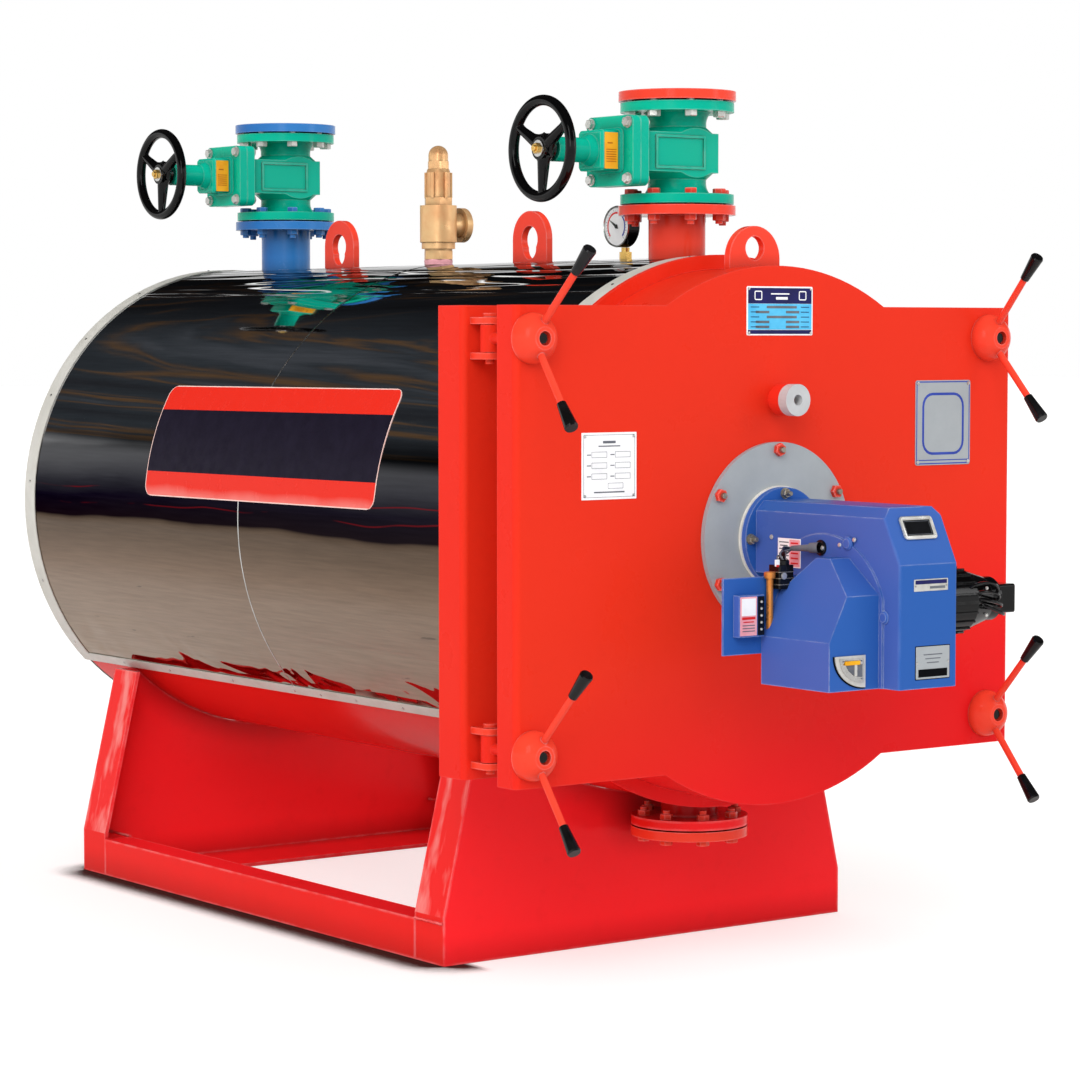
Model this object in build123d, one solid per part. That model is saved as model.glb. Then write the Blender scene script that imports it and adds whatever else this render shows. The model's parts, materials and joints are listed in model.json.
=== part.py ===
"""Horizontal fire-tube hot-water boiler with a gas burner on its hinged front door.

Millimetres, Z up, front door facing -Y. The origin is on the floor, under the middle of the
front saddle plate.
Depths named d are measured backwards from the front plane of the closed door.
"""
import math
import os

from build123d import *

# Flanged pipework, DN100 PN16
FLANGE_D = 222.0
FLANGE_PCD = 180.0
FLANGE_BOLTS = 8
FLANGE_HOLE_R = 9.0
FLANGE_T = 18.0
PIPE_R = 54.0
PIPE_WALL = 4.0
GASKET_T = 3.0
GASKET_FIT = 0.1
GASKET_RIM = 1.0
SOCKET_FIT = 0.5

# Gate valves between the nozzles and their counter flanges
VALVE_FACE_TO_FACE = 190.0
VALVE_FLANGE_D = 215.0
VALVE_WAIST_R = 55.0
VALVE_FLARE_R = 64.0
VALVE_FLARE_H = 20.0
VALVE_SHOULDER_R = 68.0
VALVE_SHOULDER_H = 12.0
VALVE_BOX_BACK_X = 56.0
VALVE_BOX_HALF_D = 58.0
VALVE_BOX_HALF_H = 37.0
VALVE_BOX_EDGE_R = 5.0
VALVE_PANEL_X0 = -98.0
VALVE_PANEL_X1 = 20.0
VALVE_PANEL_HALF_H = 31.0
VALVE_PANEL_RIM = 4.0
VALVE_PANEL_H = 2.5
BODY_PLATE_X = -124.0
BONNET_X = -142.0
BONNET_PLATE_T = 18.7
BONNET_HALF_D = 70.0
BONNET_HALF_H = 65.0
BONNET_CORNER_R = 14.0
BONNET_ROOT_R = 42.0
DOME_R = 36.0
DOME_L = 48.0
NECK_R = 23.0
NECK_SLOPE_L = 15.0
NECK_END_X = -294.0
STEM_R = 9.0
STEM_FIT = 0.05
STEM_ROOT_X = -205.0
STEM_END_X = -330.0
WHEEL_X = -318.0
WHEEL_R = 98.0
WHEEL_RIM_R = 10.0
WHEEL_HUB_R = 21.0
WHEEL_HUB_L = 26.0
WHEEL_DISH = 5.0
SPOKE_ROOT_R = 13.0
SPOKE_END_R = 7.0
SPOKE_ANGLES = (-90, 30, 150)

# Boiler barrel
AXIS_Z = 799.0
SHELL_R = 509.0
SHELL_WALL = 8.0
CLAD_STANDOFF = 4.5
CLAD_R = SHELL_R + CLAD_STANDOFF
CLAD_T = 3.0
TRIM_LAP = 2.5
TRIM_R = CLAD_R + TRIM_LAP
TRIM_T = 2.0
TRIM_W = 44.0
STRIP_W = 24.5
STRIP_GAP = 1.0
CLAD_END_DEG = 44.4
PLATE_D = 158.0
PLATE_T = 10.0
SHELL_D0 = PLATE_D + PLATE_T
SHELL_D1 = 1953.0
SEAT = 0.3

# Door, front plate and the drum between them
DOOR_MARGIN = 83.0
DOOR_W = 2 * (SHELL_R + DOOR_MARGIN)
DOOR_H = 840.0
DRUM_INSET = 19.0
DRUM_R = SHELL_R - DRUM_INSET
DOOR_LIP = 4.0
DOOR_R = DRUM_R + DOOR_LIP
DOOR_DEPTH = 55.0
DOOR_SHEET = 6.0
DOOR_BEND_R = 12.0
PLATE_RIM = 8.0
PLATE_R = SHELL_R + PLATE_RIM
PLATE_FOLD = 75.0
DRUM_WALL = 8.0
DRUM_GAP = 6.0
LINING_GAP = 28.0
LINING_R = DRUM_R - LINING_GAP
LINING_TAPER = 24.0
LINING_BACK_R = LINING_R - LINING_TAPER
LINING_BACK = 115.0
SIGHT_X = -4.0
SIGHT_RISE = 250.0
SIGHT_Z = AXIS_Z + SIGHT_RISE
SIGHT_R = 29.0
SIGHT_NECK_R = 21.0
SIGHT_BORE_R = 10.0
SIGHT_HOLE_R = 14.0
SIGHT_FRONT_D = -62.0
SIGHT_NECK_D = -14.0

# Tube plates, furnace, smoke tubes and the rear smoke box
TUBE_PLATE_D = SHELL_D0 + SEAT
TUBE_PLATE_T = 14.0
SMOKE_RING_INSET = 104.0
SMOKE_RING_R = SHELL_R - SMOKE_RING_INSET
FURNACE_ROOM = 165.0
FURNACE_R = SMOKE_RING_R - FURNACE_ROOM
FURNACE_WALL = 8.0
FURNACE_DROP = 60.0
FURNACE_REAR_GAP = 388.0
FURNACE_D1 = SHELL_D1 - FURNACE_REAR_GAP
SMOKE_TUBE_R = 30.0
SMOKE_TUBE_WALL = 3.5
SMOKE_TUBES = 12
SMOKE_BOX_INSET = 64.0
SMOKE_BOX_R = SHELL_R - SMOKE_BOX_INSET
SMOKE_BOX_WALL = 6.0
SMOKE_BOX_L = 60.0
SMOKE_COVER_T = 8.0
SMOKE_COVER_LIP = 20.0
FLUE_R = 125.0
FLUE_WALL = 4.0
FLUE_L = 110.0

# Base
BASE_FRONT_GAP = 204.0
BASE_SETBACK = SHELL_D0 + BASE_FRONT_GAP
BASE_REAR_GAP = 203.0
BASE_LEN = SHELL_D1 - BASE_SETBACK - BASE_REAR_GAP
BASE_INSET = 23.0
BASE_HALF_W = SHELL_R - BASE_INSET
BASE_KNEE_Z = 90.0
BASE_SLOPE = 0.236
BASE_SHEET = 8.0
BASE_FOLD = 95.0
BASE_FOOT = 187.0
BEAM_H = 78.0
BEAM_W = 62.0
HORN_Z = AXIS_Z - TRIM_R * math.sin(math.radians(CLAD_END_DEG)) - 2.0
HORN_HALF_W = BASE_HALF_W - BASE_SLOPE * (HORN_Z - BASE_KNEE_Z)

# Eye bolts at the four corners: the left ones are the hinges
EYE_LEFT_INSET = 35.0
EYE_X_LEFT = EYE_LEFT_INSET - DOOR_W / 2
EYE_RIGHT_INSET = 62.0
EYE_X_RIGHT = DOOR_W / 2 - EYE_RIGHT_INSET
EYE_TOP_INSET = 58.0
EYE_DZ = DOOR_H / 2 - EYE_TOP_INSET
EYE_D = 125.0
EYE_R = 17.0
EYE_H = 48.0
STUD_R = 10.0
STUD_END_D = -31.0
COLLAR_R = 15.0
COLLAR_T = 10.0
PIN_R = 8.0
PIN_TAIL = 8.0
PIN_HEAD_R = 12.0
PIN_HEAD_H = 7.0
TURN_FIT = 0.05
LUG_T = 12.0
LUG_R = 19.0
LUG_GAP = 1.0
OPEN_LUG_GAP = 6.0

# Clamp handles
CLAMP_TURNS = {"tl": 7.4, "tr": -3.0, "bl": 5.0, "br": 1.4}
HUB_R = 45.0
HUB_RIM_H = 5.0
HUB_TIP_R = 20.0
HUB_L = 38.0
HUB_SHOULDER_R = 38.0
HUB_SHOULDER_H = 23.0
HUB_MOUTH_R = 12.5
HUB_MOUTH_DEPTH = 10.0
ROD_R = 6.5
ROD_ROOT_R = 21.0
ROD_ROOT_D = -24.0
ROD_REACH_Z = 153.0
ROD_REACH_D = -140.0
KNOB_L = 55.0
KNOB_R = 12.5
KNOB_NECK_R = 8.5
KNOB_CAP = 3.0

# Burner
BURNER_X = -6.0
BURNER_Z = AXIS_Z - 1.0
MOUNT_PLATE_R = 174.0
MOUNT_PLATE_T = 10.0
BURNER_GASKET_R = 94.5
BURNER_GASKET_T = 5.0
BURNER_FLANGE_R = 92.0
BURNER_FLANGE_T = 12.0
BLAST_R = 62.0
BLAST_WALL = 3.0
BLAST_FIT = 8.0
BLAST_SLIP = 1.0
BLAST_END_D = 180.0
BOX_HALF_W = 68.0
BOX_TOP = 70.0
BOX_CHAMFER = 18.0
BOX_EDGE_R = 5.0
BOX_FRONT_D = -410.0
BOX_SLANT_D = -362.0
BOX_SLANT_Z = -27.0
BOX_BOTTOM = -243.0
BOX_REAR_D = -205.0
NECK_BOTTOM = -60.0
VOLUTE_D = -216.0
VOLUTE_Z = -145.0
VOLUTE_R = 164.0
VOLUTE_FRONT_D = -370.0
VOLUTE_T = 4.0
INTAKE_LEFT = -187.0
INTAKE_KNEE_Z = -158.0
INTAKE_TOP_X = -117.0
INTAKE_TOP_Z = -20.0
INTAKE_FRONT_D = -363.0
INTAKE_BROW_Z = -80.0
INTAKE_RIDGE_D0 = -285.0
INTAKE_RIDGE_D1 = -249.0
INTAKE_REAR_D = -184.0
INTAKE_REAR_Z = -84.0
BRACKET_LEFT = -274.0
BRACKET_Z0 = -189.0
BRACKET_Z1 = -54.0
BRACKET_T = 4.0
CONTROL_X0 = -251.0
CONTROL_X1 = -195.0
CONTROL_Z0 = -157.0
CONTROL_Z1 = -84.0
CONTROL_T = 16.0
MOTOR_D = -300.0
MOTOR_Z = -105.0
MOTOR_R = 61.0
MOTOR_RIB_H = 3.0
MOTOR_RIB_T = 3.0
MOTOR_RIBS = 20
MOTOR_L = 103.0
MOTOR_TAPER_L = 50.0
MOTOR_BELL_R = 43.0
MOTOR_BELL_L = 26.0
MOTOR_BOX_L = 44.0
MOTOR_BOX_HALF = 26.0

# Pipework and fittings along the top
SUPPLY_INSET = 126.0
SUPPLY_D = SHELL_D0 + SUPPLY_INSET
RETURN_INSET = 269.0
RETURN_D = SHELL_D1 - RETURN_INSET
SUPPLY_RISE = 102.0
SUPPLY_FLANGE_Z = AXIS_Z + SHELL_R + SUPPLY_RISE
RETURN_RISE = 109.0
RETURN_FLANGE_Z = AXIS_Z + SHELL_R + RETURN_RISE
NOZZLE_FIT = 1.5
DRAIN_INSET = 84.0
DRAIN_D = SHELL_D0 + DRAIN_INSET
DRAIN_DROP = 50.0
DRAIN_FLANGE_Z = AXIS_Z - SHELL_R - DRAIN_DROP
GAUGE_GAP = 158.0
GAUGE_D = SUPPLY_D + GAUGE_GAP
GAUGE_R = 40.0
GAUGE_RISE = 63.0
GAUGE_FRONT_X = -22.0
GAUGE_BACK_X = 7.0
GAUGE_EDGE = 4.0
COCK_R = 8.0
COCK_HEX = 13.0
COCK_HEX_H = 14.0
MIDDLE_LUG_GAP = 461.0
MIDDLE_LUG_D = SUPPLY_D + MIDDLE_LUG_GAP
REAR_LUG_GAP = 229.0
REAR_LUG_D = RETURN_D - REAR_LUG_GAP
FRONT_LUG_D = 66.0
LIFT_LUG_T = 15.0
LIFT_LUG_HALF_W = 57.0
LIFT_HOLE_R = 27.0
LIFT_HOLE_LOW_R = 22.0
LIFT_HOLE_Z = 50.0
LIFT_HOLE_LOW_Z = 32.0
LIFT_LUG_ROOM = 2.0
FRONT_LUG_R = 60.0
FRONT_LUG_RISE = 18.0
FRONT_EYE_R = 22.0
FRONT_EYE_RISE = 37.0
FRONT_EYE_Z = AXIS_Z + DRUM_R + FRONT_EYE_RISE

# Safety valve
SAFETY_D = MIDDLE_LUG_D + 0.473 * (REAR_LUG_D - MIDDLE_LUG_D)
SAFETY_FOOT_R = 28.0
SAFETY_FOOT_H = 16.0
SAFETY_HEX = 32.5
SAFETY_HEX_H = 18.0
SAFETY_NECK_H = 4.0
SAFETY_RING_R = 35.0
SAFETY_RING_H = 13.0
SAFETY_GROOVE = 1.0
SAFETY_BODY_R = 38.5
SAFETY_BODY_H = 76.0
SAFETY_OUT_X = 64.0
SAFETY_OUT_Z = 88.0
SAFETY_OUT_R = 20.5
SAFETY_OUT_L = 20.0
SAFETY_BOSS_R = 36.0
SAFETY_BOSS_L = 14.0
SAFETY_ARM_R = 26.0
CROWN_HEX = 31.5
CROWN_HEX_H = 16.0
CROWN_CORE_R = 25.0
CROWN_RIB_R = 29.0
CROWN_RIB_W = 6.0
CROWN_RIB_H = 52.0
CROWN_RIBS = 6
CROWN_SHOULDER_H = 7.0
CROWN_TOP_R = 23.0
CAP_HEX = 24.0
CAP_HEX_H = 16.0
CAP_R = 20.5
CAP_H = 33.0

# The door front plane in frame coordinates
DOOR_Y = -(BASE_SETBACK + BASE_SHEET / 2)


def yd(depth):
    """Frame Y of a depth behind the closed door's front plane."""
    return DOOR_Y + depth


def box(x0, x1, d0, d1, z0, z1):
    """Box between two corners given as x, depth and z."""
    size = Box(x1 - x0, d1 - d0, z1 - z0)
    return Pos((x0 + x1) / 2, (yd(d0) + yd(d1)) / 2, (z0 + z1) / 2) * size


def rod_between(start, end, r0, r1=None):
    """Round rod or cone from one point to another."""
    a = Vector(*start)
    b = Vector(*end)
    plane = Plane(origin=a, z_dir=(b - a).normalized())
    if r1 is None:
        return Solid.make_cylinder(r0, (b - a).length, plane)
    return Solid.make_cone(r0, r1, (b - a).length, plane)


def cyl_y(r, d0, d1, x=0.0, z=AXIS_Z):
    """Cylinder along the boiler's length."""
    return rod_between((x, yd(d0), z), (x, yd(d1), z), r)


def tube_y(r, wall, d0, d1, x=0.0, z=AXIS_Z):
    """Open pipe along the boiler's length."""
    return cyl_y(r, d0, d1, x, z) - cyl_y(r - wall, d0 - 1, d1 + 1, x, z)


def cyl_z(r, z0, z1, x, d):
    """Upright cylinder."""
    return rod_between((x, yd(d), z0), (x, yd(d), z1), r)


def cyl_x(r, x0, x1, d, z):
    """Cylinder across the boiler."""
    return rod_between((x0, yd(d), z), (x1, yd(d), z), r)


def hex_z(corner_r, z0, z1, x, d):
    """Upright hexagon bar."""
    return extrude(Pos(x, yd(d), z0) * RegularPolygon(corner_r, 6), amount=z1 - z0)


def prism_y(points, d0, d1):
    """Polygon given as (x, z) pairs, extruded along the boiler's length."""
    wire = Polyline(*[(x, yd(d0), z) for x, z in points], close=True)
    return extrude(make_face(wire), amount=d1 - d0, dir=(0, 1, 0))


def prism_x(points, x0, x1):
    """Polygon given as (depth, z) pairs, extruded sideways."""
    wire = Polyline(*[(x0, yd(d), z) for d, z in points], close=True)
    return extrude(make_face(wire), amount=x1 - x0, dir=(1, 0, 0))


def rounded_plate(x0, x1, d, z, half_d, half_h, corner_r):
    """Upright plate across the boiler with rounded corners."""
    plane = Plane(origin=(x0, yd(d), z), x_dir=(0, 1, 0), z_dir=(1, 0, 0))
    return extrude(plane * RectangleRounded(2 * half_d, 2 * half_h, corner_r), amount=x1 - x0)


def turned(profile, plane):
    """Solid of revolution about the plane's Z axis.

    The profile holds (radius, height) pairs and, between two of them, three-number entries
    (radius, height, None) for the middle of an arc.
    """
    edges = []
    closed = profile + [profile[0]]
    k = 0
    while k < len(closed) - 1:
        start = closed[k]
        if len(closed[k + 1]) == 3:
            mid, end = closed[k + 1], closed[k + 2]
            edges.append(ThreePointArc((start[0], 0, start[1]), (mid[0], 0, mid[1]), (end[0], 0, end[1])))
            k += 2
        else:
            end = closed[k + 1]
            edges.append(Line((start[0], 0, start[1]), (end[0], 0, end[1])))
            k += 1
    return plane.location * revolve(make_face(edges), Axis.Z)


def save(shape, name):
    """Write one node."""
    export_step(shape, f"parts/{name}.step")


def clad_end(radius, deg):
    """Point on the radius, the given angle below the horizontal on the right."""
    a = math.radians(deg)
    return radius * math.cos(a), AXIS_Z - radius * math.sin(a)


def bottom_wedge(d0, d1):
    """Everything in the lower sector that the cladding leaves open."""
    reach = 2 * TRIM_R
    side, low = clad_end(reach, CLAD_END_DEG)
    pts = [(0, AXIS_Z), (-side, low), (-side, low - reach), (side, low - reach), (side, low)]
    return prism_y(pts, d0 - 1, d1 + 1)


def door_outline(half_w, half_h, radius, bend_r, d0, d1):
    """A rectangle with its upright front edges bent round, and a circle on the same centre."""
    rect = box(-half_w, half_w, d0, d1, AXIS_Z - half_h, AXIS_Z + half_h)
    front = [e for e in rect.edges() if e.length > half_h and abs(e.center().Y - yd(d0)) < 1]
    upright = [e for e in front if abs(abs(e.center().X) - half_w) < 1]
    return fillet(upright, bend_r) + cyl_y(radius, d0, d1)


def flange(x, d, z0, bore_r, thickness=FLANGE_T, outer_d=FLANGE_D):
    """Drilled flange standing on z0, its bolt holes straddling the centre lines."""
    disc = cyl_z(outer_d / 2, z0, z0 + thickness, x, d)
    if bore_r:
        disc -= cyl_z(bore_r, z0 - 1, z0 + thickness + 1, x, d)
    for i in range(FLANGE_BOLTS):
        a = math.radians(360 / FLANGE_BOLTS * (i + 0.5))
        dx = FLANGE_PCD / 2 * math.cos(a)
        dy = FLANGE_PCD / 2 * math.sin(a)
        disc -= cyl_z(FLANGE_HOLE_R, z0 - 1, z0 + thickness + 1, x + dx, d + dy)
    return disc


def gasket(d, z0):
    """Flat ring between two flanges, inside their bolts."""
    r = FLANGE_PCD / 2 - FLANGE_HOLE_R - GASKET_RIM
    ring = cyl_z(r, z0 + GASKET_FIT, z0 + GASKET_T - GASKET_FIT, 0, d)
    return ring - cyl_z(PIPE_R - PIPE_WALL, z0, z0 + GASKET_T, 0, d)


def make_base():
    """Two folded saddle plates with their feet, and the side beams between them."""
    knee = (BASE_HALF_W, BASE_KNEE_Z)
    outline = [(-BASE_HALF_W, 0), (BASE_HALF_W, 0), knee, (HORN_HALF_W, HORN_Z),
               (-HORN_HALF_W, HORN_Z), (-BASE_HALF_W, BASE_KNEE_Z)]
    half = BASE_HALF_W - BASE_SHEET
    top_half = HORN_HALF_W - BASE_SHEET - BASE_SLOPE
    inner = [(-half, -1), (half, -1), (half, BASE_KNEE_Z), (top_half, HORN_Z + 1),
             (-top_half, HORN_Z + 1), (-half, BASE_KNEE_Z)]
    front = BASE_SETBACK
    rear = BASE_SETBACK + BASE_LEN
    foot_half = BASE_HALF_W - BEAM_W - SEAT
    saddles = []
    for web, fold in ((front, 1), (rear, -1)):
        d0, d1 = sorted((web, web + fold * BASE_FOLD))
        hollow0, hollow1 = sorted((web + fold * BASE_SHEET, web + fold * (BASE_FOLD + 1)))
        foot0, foot1 = sorted((web, web + fold * BASE_FOOT))
        plate = prism_y(outline, d0, d1) - prism_y(inner, hollow0, hollow1)
        plate += box(-foot_half, foot_half, foot0, foot1, 0, BASE_SHEET)
        saddles.append(plate - cyl_y(SHELL_R + SEAT, d0 - 1, d1 + 1))
    save(Compound(saddles), "saddle_plates")
    beams = []
    for side in (-1, 1):
        x_out = side * BASE_HALF_W
        x_in = side * (BASE_HALF_W - BEAM_W)
        x0, x1 = sorted((x_out, x_in))
        d0 = front + BASE_FOLD + SEAT
        d1 = rear - BASE_FOLD - SEAT
        c0, c1 = sorted((x_in - side, x_out - side * BASE_SHEET))
        hollow = box(c0, c1, d0 - 1, d1 + 1, BASE_SHEET, BEAM_H - BASE_SHEET)
        beams.append(box(x0, x1, d0, d1, 0, BEAM_H) - hollow)
    save(Compound(beams), "base_beams")


def make_barrel():
    """Shell, end plates and tubes."""
    pipe_in = PIPE_R - PIPE_WALL
    shell = tube_y(SHELL_R, SHELL_WALL, SHELL_D0 + SEAT, SHELL_D1 - PLATE_T - SEAT)
    for d in (SUPPLY_D, RETURN_D):
        shell -= cyl_z(pipe_in, AXIS_Z, AXIS_Z + 2 * SHELL_R, 0, d)
    shell -= cyl_z(pipe_in, AXIS_Z - 2 * SHELL_R, AXIS_Z, 0, DRAIN_D)
    save(shell, "boiler_shell")
    furnace_z = AXIS_Z - FURNACE_DROP
    plate_d1 = TUBE_PLATE_D + TUBE_PLATE_T
    plate = cyl_y(SHELL_R - SHELL_WALL - SEAT, TUBE_PLATE_D, plate_d1)
    plate -= cyl_y(FURNACE_R + SEAT, TUBE_PLATE_D - 1, plate_d1 + 1, 0, furnace_z)
    rear = cyl_y(SHELL_R, SHELL_D1 - PLATE_T, SHELL_D1)
    tubes = []
    for i in range(SMOKE_TUBES):
        a = math.radians(360 / SMOKE_TUBES * (i + 0.5))
        x = SMOKE_RING_R * math.cos(a)
        z = AXIS_Z + SMOKE_RING_R * math.sin(a)
        hole = cyl_y(SMOKE_TUBE_R + SEAT, TUBE_PLATE_D - 1, SHELL_D1 + 1, x, z)
        plate -= hole
        rear -= hole
        tubes.append(tube_y(SMOKE_TUBE_R, SMOKE_TUBE_WALL, TUBE_PLATE_D, SHELL_D1, x, z))
    save(plate, "front_tube_plate")
    save(rear, "rear_tube_plate")
    save(Compound(tubes), "smoke_tubes")
    furnace = tube_y(FURNACE_R, FURNACE_WALL, TUBE_PLATE_D, FURNACE_D1, 0, furnace_z)
    furnace += cyl_y(FURNACE_R, FURNACE_D1 - 1, FURNACE_D1 + FURNACE_WALL, 0, furnace_z)
    save(furnace, "furnace_tube")


def make_cladding():
    """Thin sheet round the barrel, its end rings and the strips along its lower edges."""
    clad0 = PLATE_D + PLATE_T + SEAT
    clad = tube_y(CLAD_R, CLAD_T, clad0, SHELL_D1) - bottom_wedge(clad0, SHELL_D1)
    through = ((SUPPLY_D, PIPE_R), (RETURN_D, PIPE_R), (SAFETY_D, SAFETY_FOOT_R), (GAUGE_D, COCK_R))
    for d, r in through:
        clad -= cyl_z(r + NOZZLE_FIT, AXIS_Z, AXIS_Z + 2 * TRIM_R, 0, d)
    for d in (MIDDLE_LUG_D, REAR_LUG_D):
        half_t = LIFT_LUG_T / 2 + NOZZLE_FIT
        half_w = LIFT_LUG_HALF_W + NOZZLE_FIT
        clad -= box(-half_t, half_t, d - half_w, d + half_w, AXIS_Z, AXIS_Z + TRIM_R)
    save(clad, "cladding")
    rings = []
    for d0 in (clad0, SHELL_D1 - TRIM_W):
        rings.append(tube_y(TRIM_R, TRIM_T, d0, d0 + TRIM_W) - bottom_wedge(d0, d0 + TRIM_W))
    save(Compound(rings), "trim_rings")
    strips = []
    d0 = clad0 + TRIM_W + STRIP_GAP
    d1 = SHELL_D1 - TRIM_W - STRIP_GAP
    strip_deg = math.degrees(STRIP_W / TRIM_R)
    for side in (-1, 1):
        pts = [(0, AXIS_Z)]
        for deg in (CLAD_END_DEG - strip_deg, CLAD_END_DEG):
            x, z = clad_end(2 * TRIM_R, deg)
            pts.append((side * x, z))
        strips.append(tube_y(TRIM_R, TRIM_T, d0, d1) & prism_y(pts, d0, d1))
    save(Compound(strips), "trim_strips")


def make_smoke_box():
    """Rear smoke box ring and its cover with the flue collar."""
    d0 = SHELL_D1 + SEAT
    d1 = d0 + SMOKE_BOX_L
    cover1 = d1 + SEAT + SMOKE_COVER_T
    collar1 = cover1 + FLUE_L
    save(tube_y(SMOKE_BOX_R, SMOKE_BOX_WALL, d0, d1), "rear_smoke_box")
    cover = cyl_y(SMOKE_BOX_R + SMOKE_COVER_LIP, d1 + SEAT, cover1)
    cover += cyl_y(FLUE_R, cover1 - 1, collar1)
    save(cover - cyl_y(FLUE_R - FLUE_WALL, d1, collar1 + 1), "smoke_box_cover")


def make_front():
    """Folded front plate and the drum on it."""
    half_w = DOOR_W / 2
    half_h = DOOR_H / 2
    d1 = PLATE_D + PLATE_FOLD
    rect = door_outline(half_w, half_h, half_h / 2, DOOR_BEND_R, PLATE_D, d1)
    inner = door_outline(half_w - PLATE_T, half_h + PLATE_R, half_h / 2, DOOR_BEND_R - PLATE_T,
                         PLATE_D + PLATE_T, d1 + 1)
    plate = rect - inner + cyl_y(PLATE_R, PLATE_D, PLATE_D + PLATE_T)
    plate -= cyl_y(DRUM_R + SEAT, PLATE_D - 1, PLATE_D + PLATE_T + 1)
    save(plate, "front_plate")
    save(tube_y(DRUM_R, DRUM_WALL, DOOR_DEPTH + DRUM_GAP, PLATE_D + PLATE_T), "front_drum")


def eye_places():
    """The four corners of the door where an eye bolt and a clamp handle sit."""
    return [(EYE_X_LEFT, AXIS_Z + EYE_DZ, "tl"), (EYE_X_RIGHT, AXIS_Z + EYE_DZ, "tr"),
            (EYE_X_LEFT, AXIS_Z - EYE_DZ, "bl"), (EYE_X_RIGHT, AXIS_Z - EYE_DZ, "br")]


def make_hinges():
    """Fixed lug pairs at the four corners and the pins of the two hinges on the left."""
    lugs = []
    pins = []
    for x, z, name in eye_places():
        gap = LUG_GAP if x < 0 else OPEN_LUG_GAP
        for z0 in (z - EYE_H / 2 - gap - LUG_T, z + EYE_H / 2 + gap):
            lug = box(x - LUG_R, x + LUG_R, EYE_D, PLATE_D - SEAT, z0, z0 + LUG_T)
            lug += cyl_z(LUG_R, z0, z0 + LUG_T, x, EYE_D)
            lugs.append(lug - cyl_z(PIN_R + TURN_FIT, z0 - 1, z0 + LUG_T + 1, x, EYE_D))
        if x < 0:
            reach = EYE_H / 2 + LUG_GAP + LUG_T
            head0 = z + reach + SEAT
            pin = cyl_z(PIN_R, z - reach - PIN_TAIL, head0, x, EYE_D)
            pins.append(pin + cyl_z(PIN_HEAD_R, head0, head0 + PIN_HEAD_H, x, EYE_D))
    save(Compound(lugs), "hinge_lugs")
    save(Compound(pins), "hinge_pins")


def make_door():
    """Tray-shaped door with its lining, its eye bolts and the sight tube."""
    half_w = DOOR_W / 2
    half_h = DOOR_H / 2
    t = DOOR_SHEET
    blast_hole_r = BLAST_R + BLAST_FIT
    tray = door_outline(half_w, half_h, DOOR_R, DOOR_BEND_R, 0, DOOR_DEPTH)
    tray -= door_outline(half_w - t, half_h - t, DOOR_R - t, DOOR_BEND_R - t, t, DOOR_DEPTH + 1)
    tray -= cyl_y(blast_hole_r, -1, t + 1, BURNER_X, BURNER_Z)
    tray -= cyl_y(SIGHT_HOLE_R, -1, t + 1, SIGHT_X, SIGHT_Z)
    for x, z, name in eye_places():
        tray -= cyl_y(STUD_R + SEAT, -1, t + SEAT, x, z)
    save(tray, "door_panel")
    front = (0, yd(t + SEAT), AXIS_Z)
    lining = rod_between(front, (0, yd(LINING_BACK), AXIS_Z), LINING_R, LINING_BACK_R)
    lining -= cyl_y(blast_hole_r, t, LINING_BACK + 1, BURNER_X, BURNER_Z)
    lining -= cyl_y(SIGHT_HOLE_R, t, LINING_BACK + 1, SIGHT_X, SIGHT_Z)
    save(lining, "door_lining")
    bolts = []
    for x, z, name in eye_places():
        bolt = cyl_z(EYE_R, z - EYE_H / 2, z + EYE_H / 2, x, EYE_D)
        bolt += cyl_y(STUD_R, STUD_END_D, EYE_D, x, z)
        bolt += cyl_y(COLLAR_R, t + SEAT, t + SEAT + COLLAR_T, x, z)
        bolts.append(bolt - cyl_z(PIN_R + TURN_FIT, z - EYE_H, z + EYE_H, x, EYE_D))
    save(Compound(bolts), "eye_bolts")
    sight = cyl_y(SIGHT_R, SIGHT_FRONT_D, SIGHT_NECK_D, SIGHT_X, SIGHT_Z)
    sight += cyl_y(SIGHT_NECK_R, SIGHT_NECK_D, -SEAT, SIGHT_X, SIGHT_Z)
    save(sight - cyl_y(SIGHT_BORE_R, SIGHT_FRONT_D - 1, 1, SIGHT_X, SIGHT_Z), "sight_tube")


def make_clamps():
    """Four clamp handles: bell-shaped nut, two slanting rods and their knobs."""
    bore = STUD_R + TURN_FIT
    mouth_h = HUB_L - HUB_MOUTH_DEPTH
    bell = [(bore, 0), (HUB_R, 0), (HUB_R, HUB_RIM_H), (HUB_SHOULDER_R, HUB_SHOULDER_H, None),
            (HUB_TIP_R, HUB_L), (HUB_MOUTH_R, HUB_L), (HUB_MOUTH_R, mouth_h), (bore, mouth_h)]
    grip = [(0, 0), (KNOB_NECK_R, 0), (KNOB_R, KNOB_L - KNOB_CAP), (KNOB_R - KNOB_CAP / 2, KNOB_L),
            (0, KNOB_L)]
    for x, z, name in eye_places():
        hub = turned(bell, Plane(origin=(x, yd(-SEAT), z), z_dir=(0, -1, 0)))
        turn = math.radians(CLAMP_TURNS[name])
        knobs = []
        for way in (-1, 1):
            ux = way * math.sin(turn)
            uz = way * math.cos(turn)
            root = Vector(x + ROD_ROOT_R * ux, yd(ROD_ROOT_D), z + ROD_ROOT_R * uz)
            tip = Vector(x + ROD_REACH_Z * ux, yd(ROD_REACH_D), z + ROD_REACH_Z * uz)
            run = (tip - root).normalized()
            neck = tip - run * KNOB_L
            hub += rod_between(tuple(root), tuple(neck - run * SEAT), ROD_R)
            knobs.append(turned(grip, Plane(origin=neck, z_dir=run)))
        save(hub, f"clamp_{name}")
        save(Compound(knobs), f"clamp_knobs_{name}")


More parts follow.
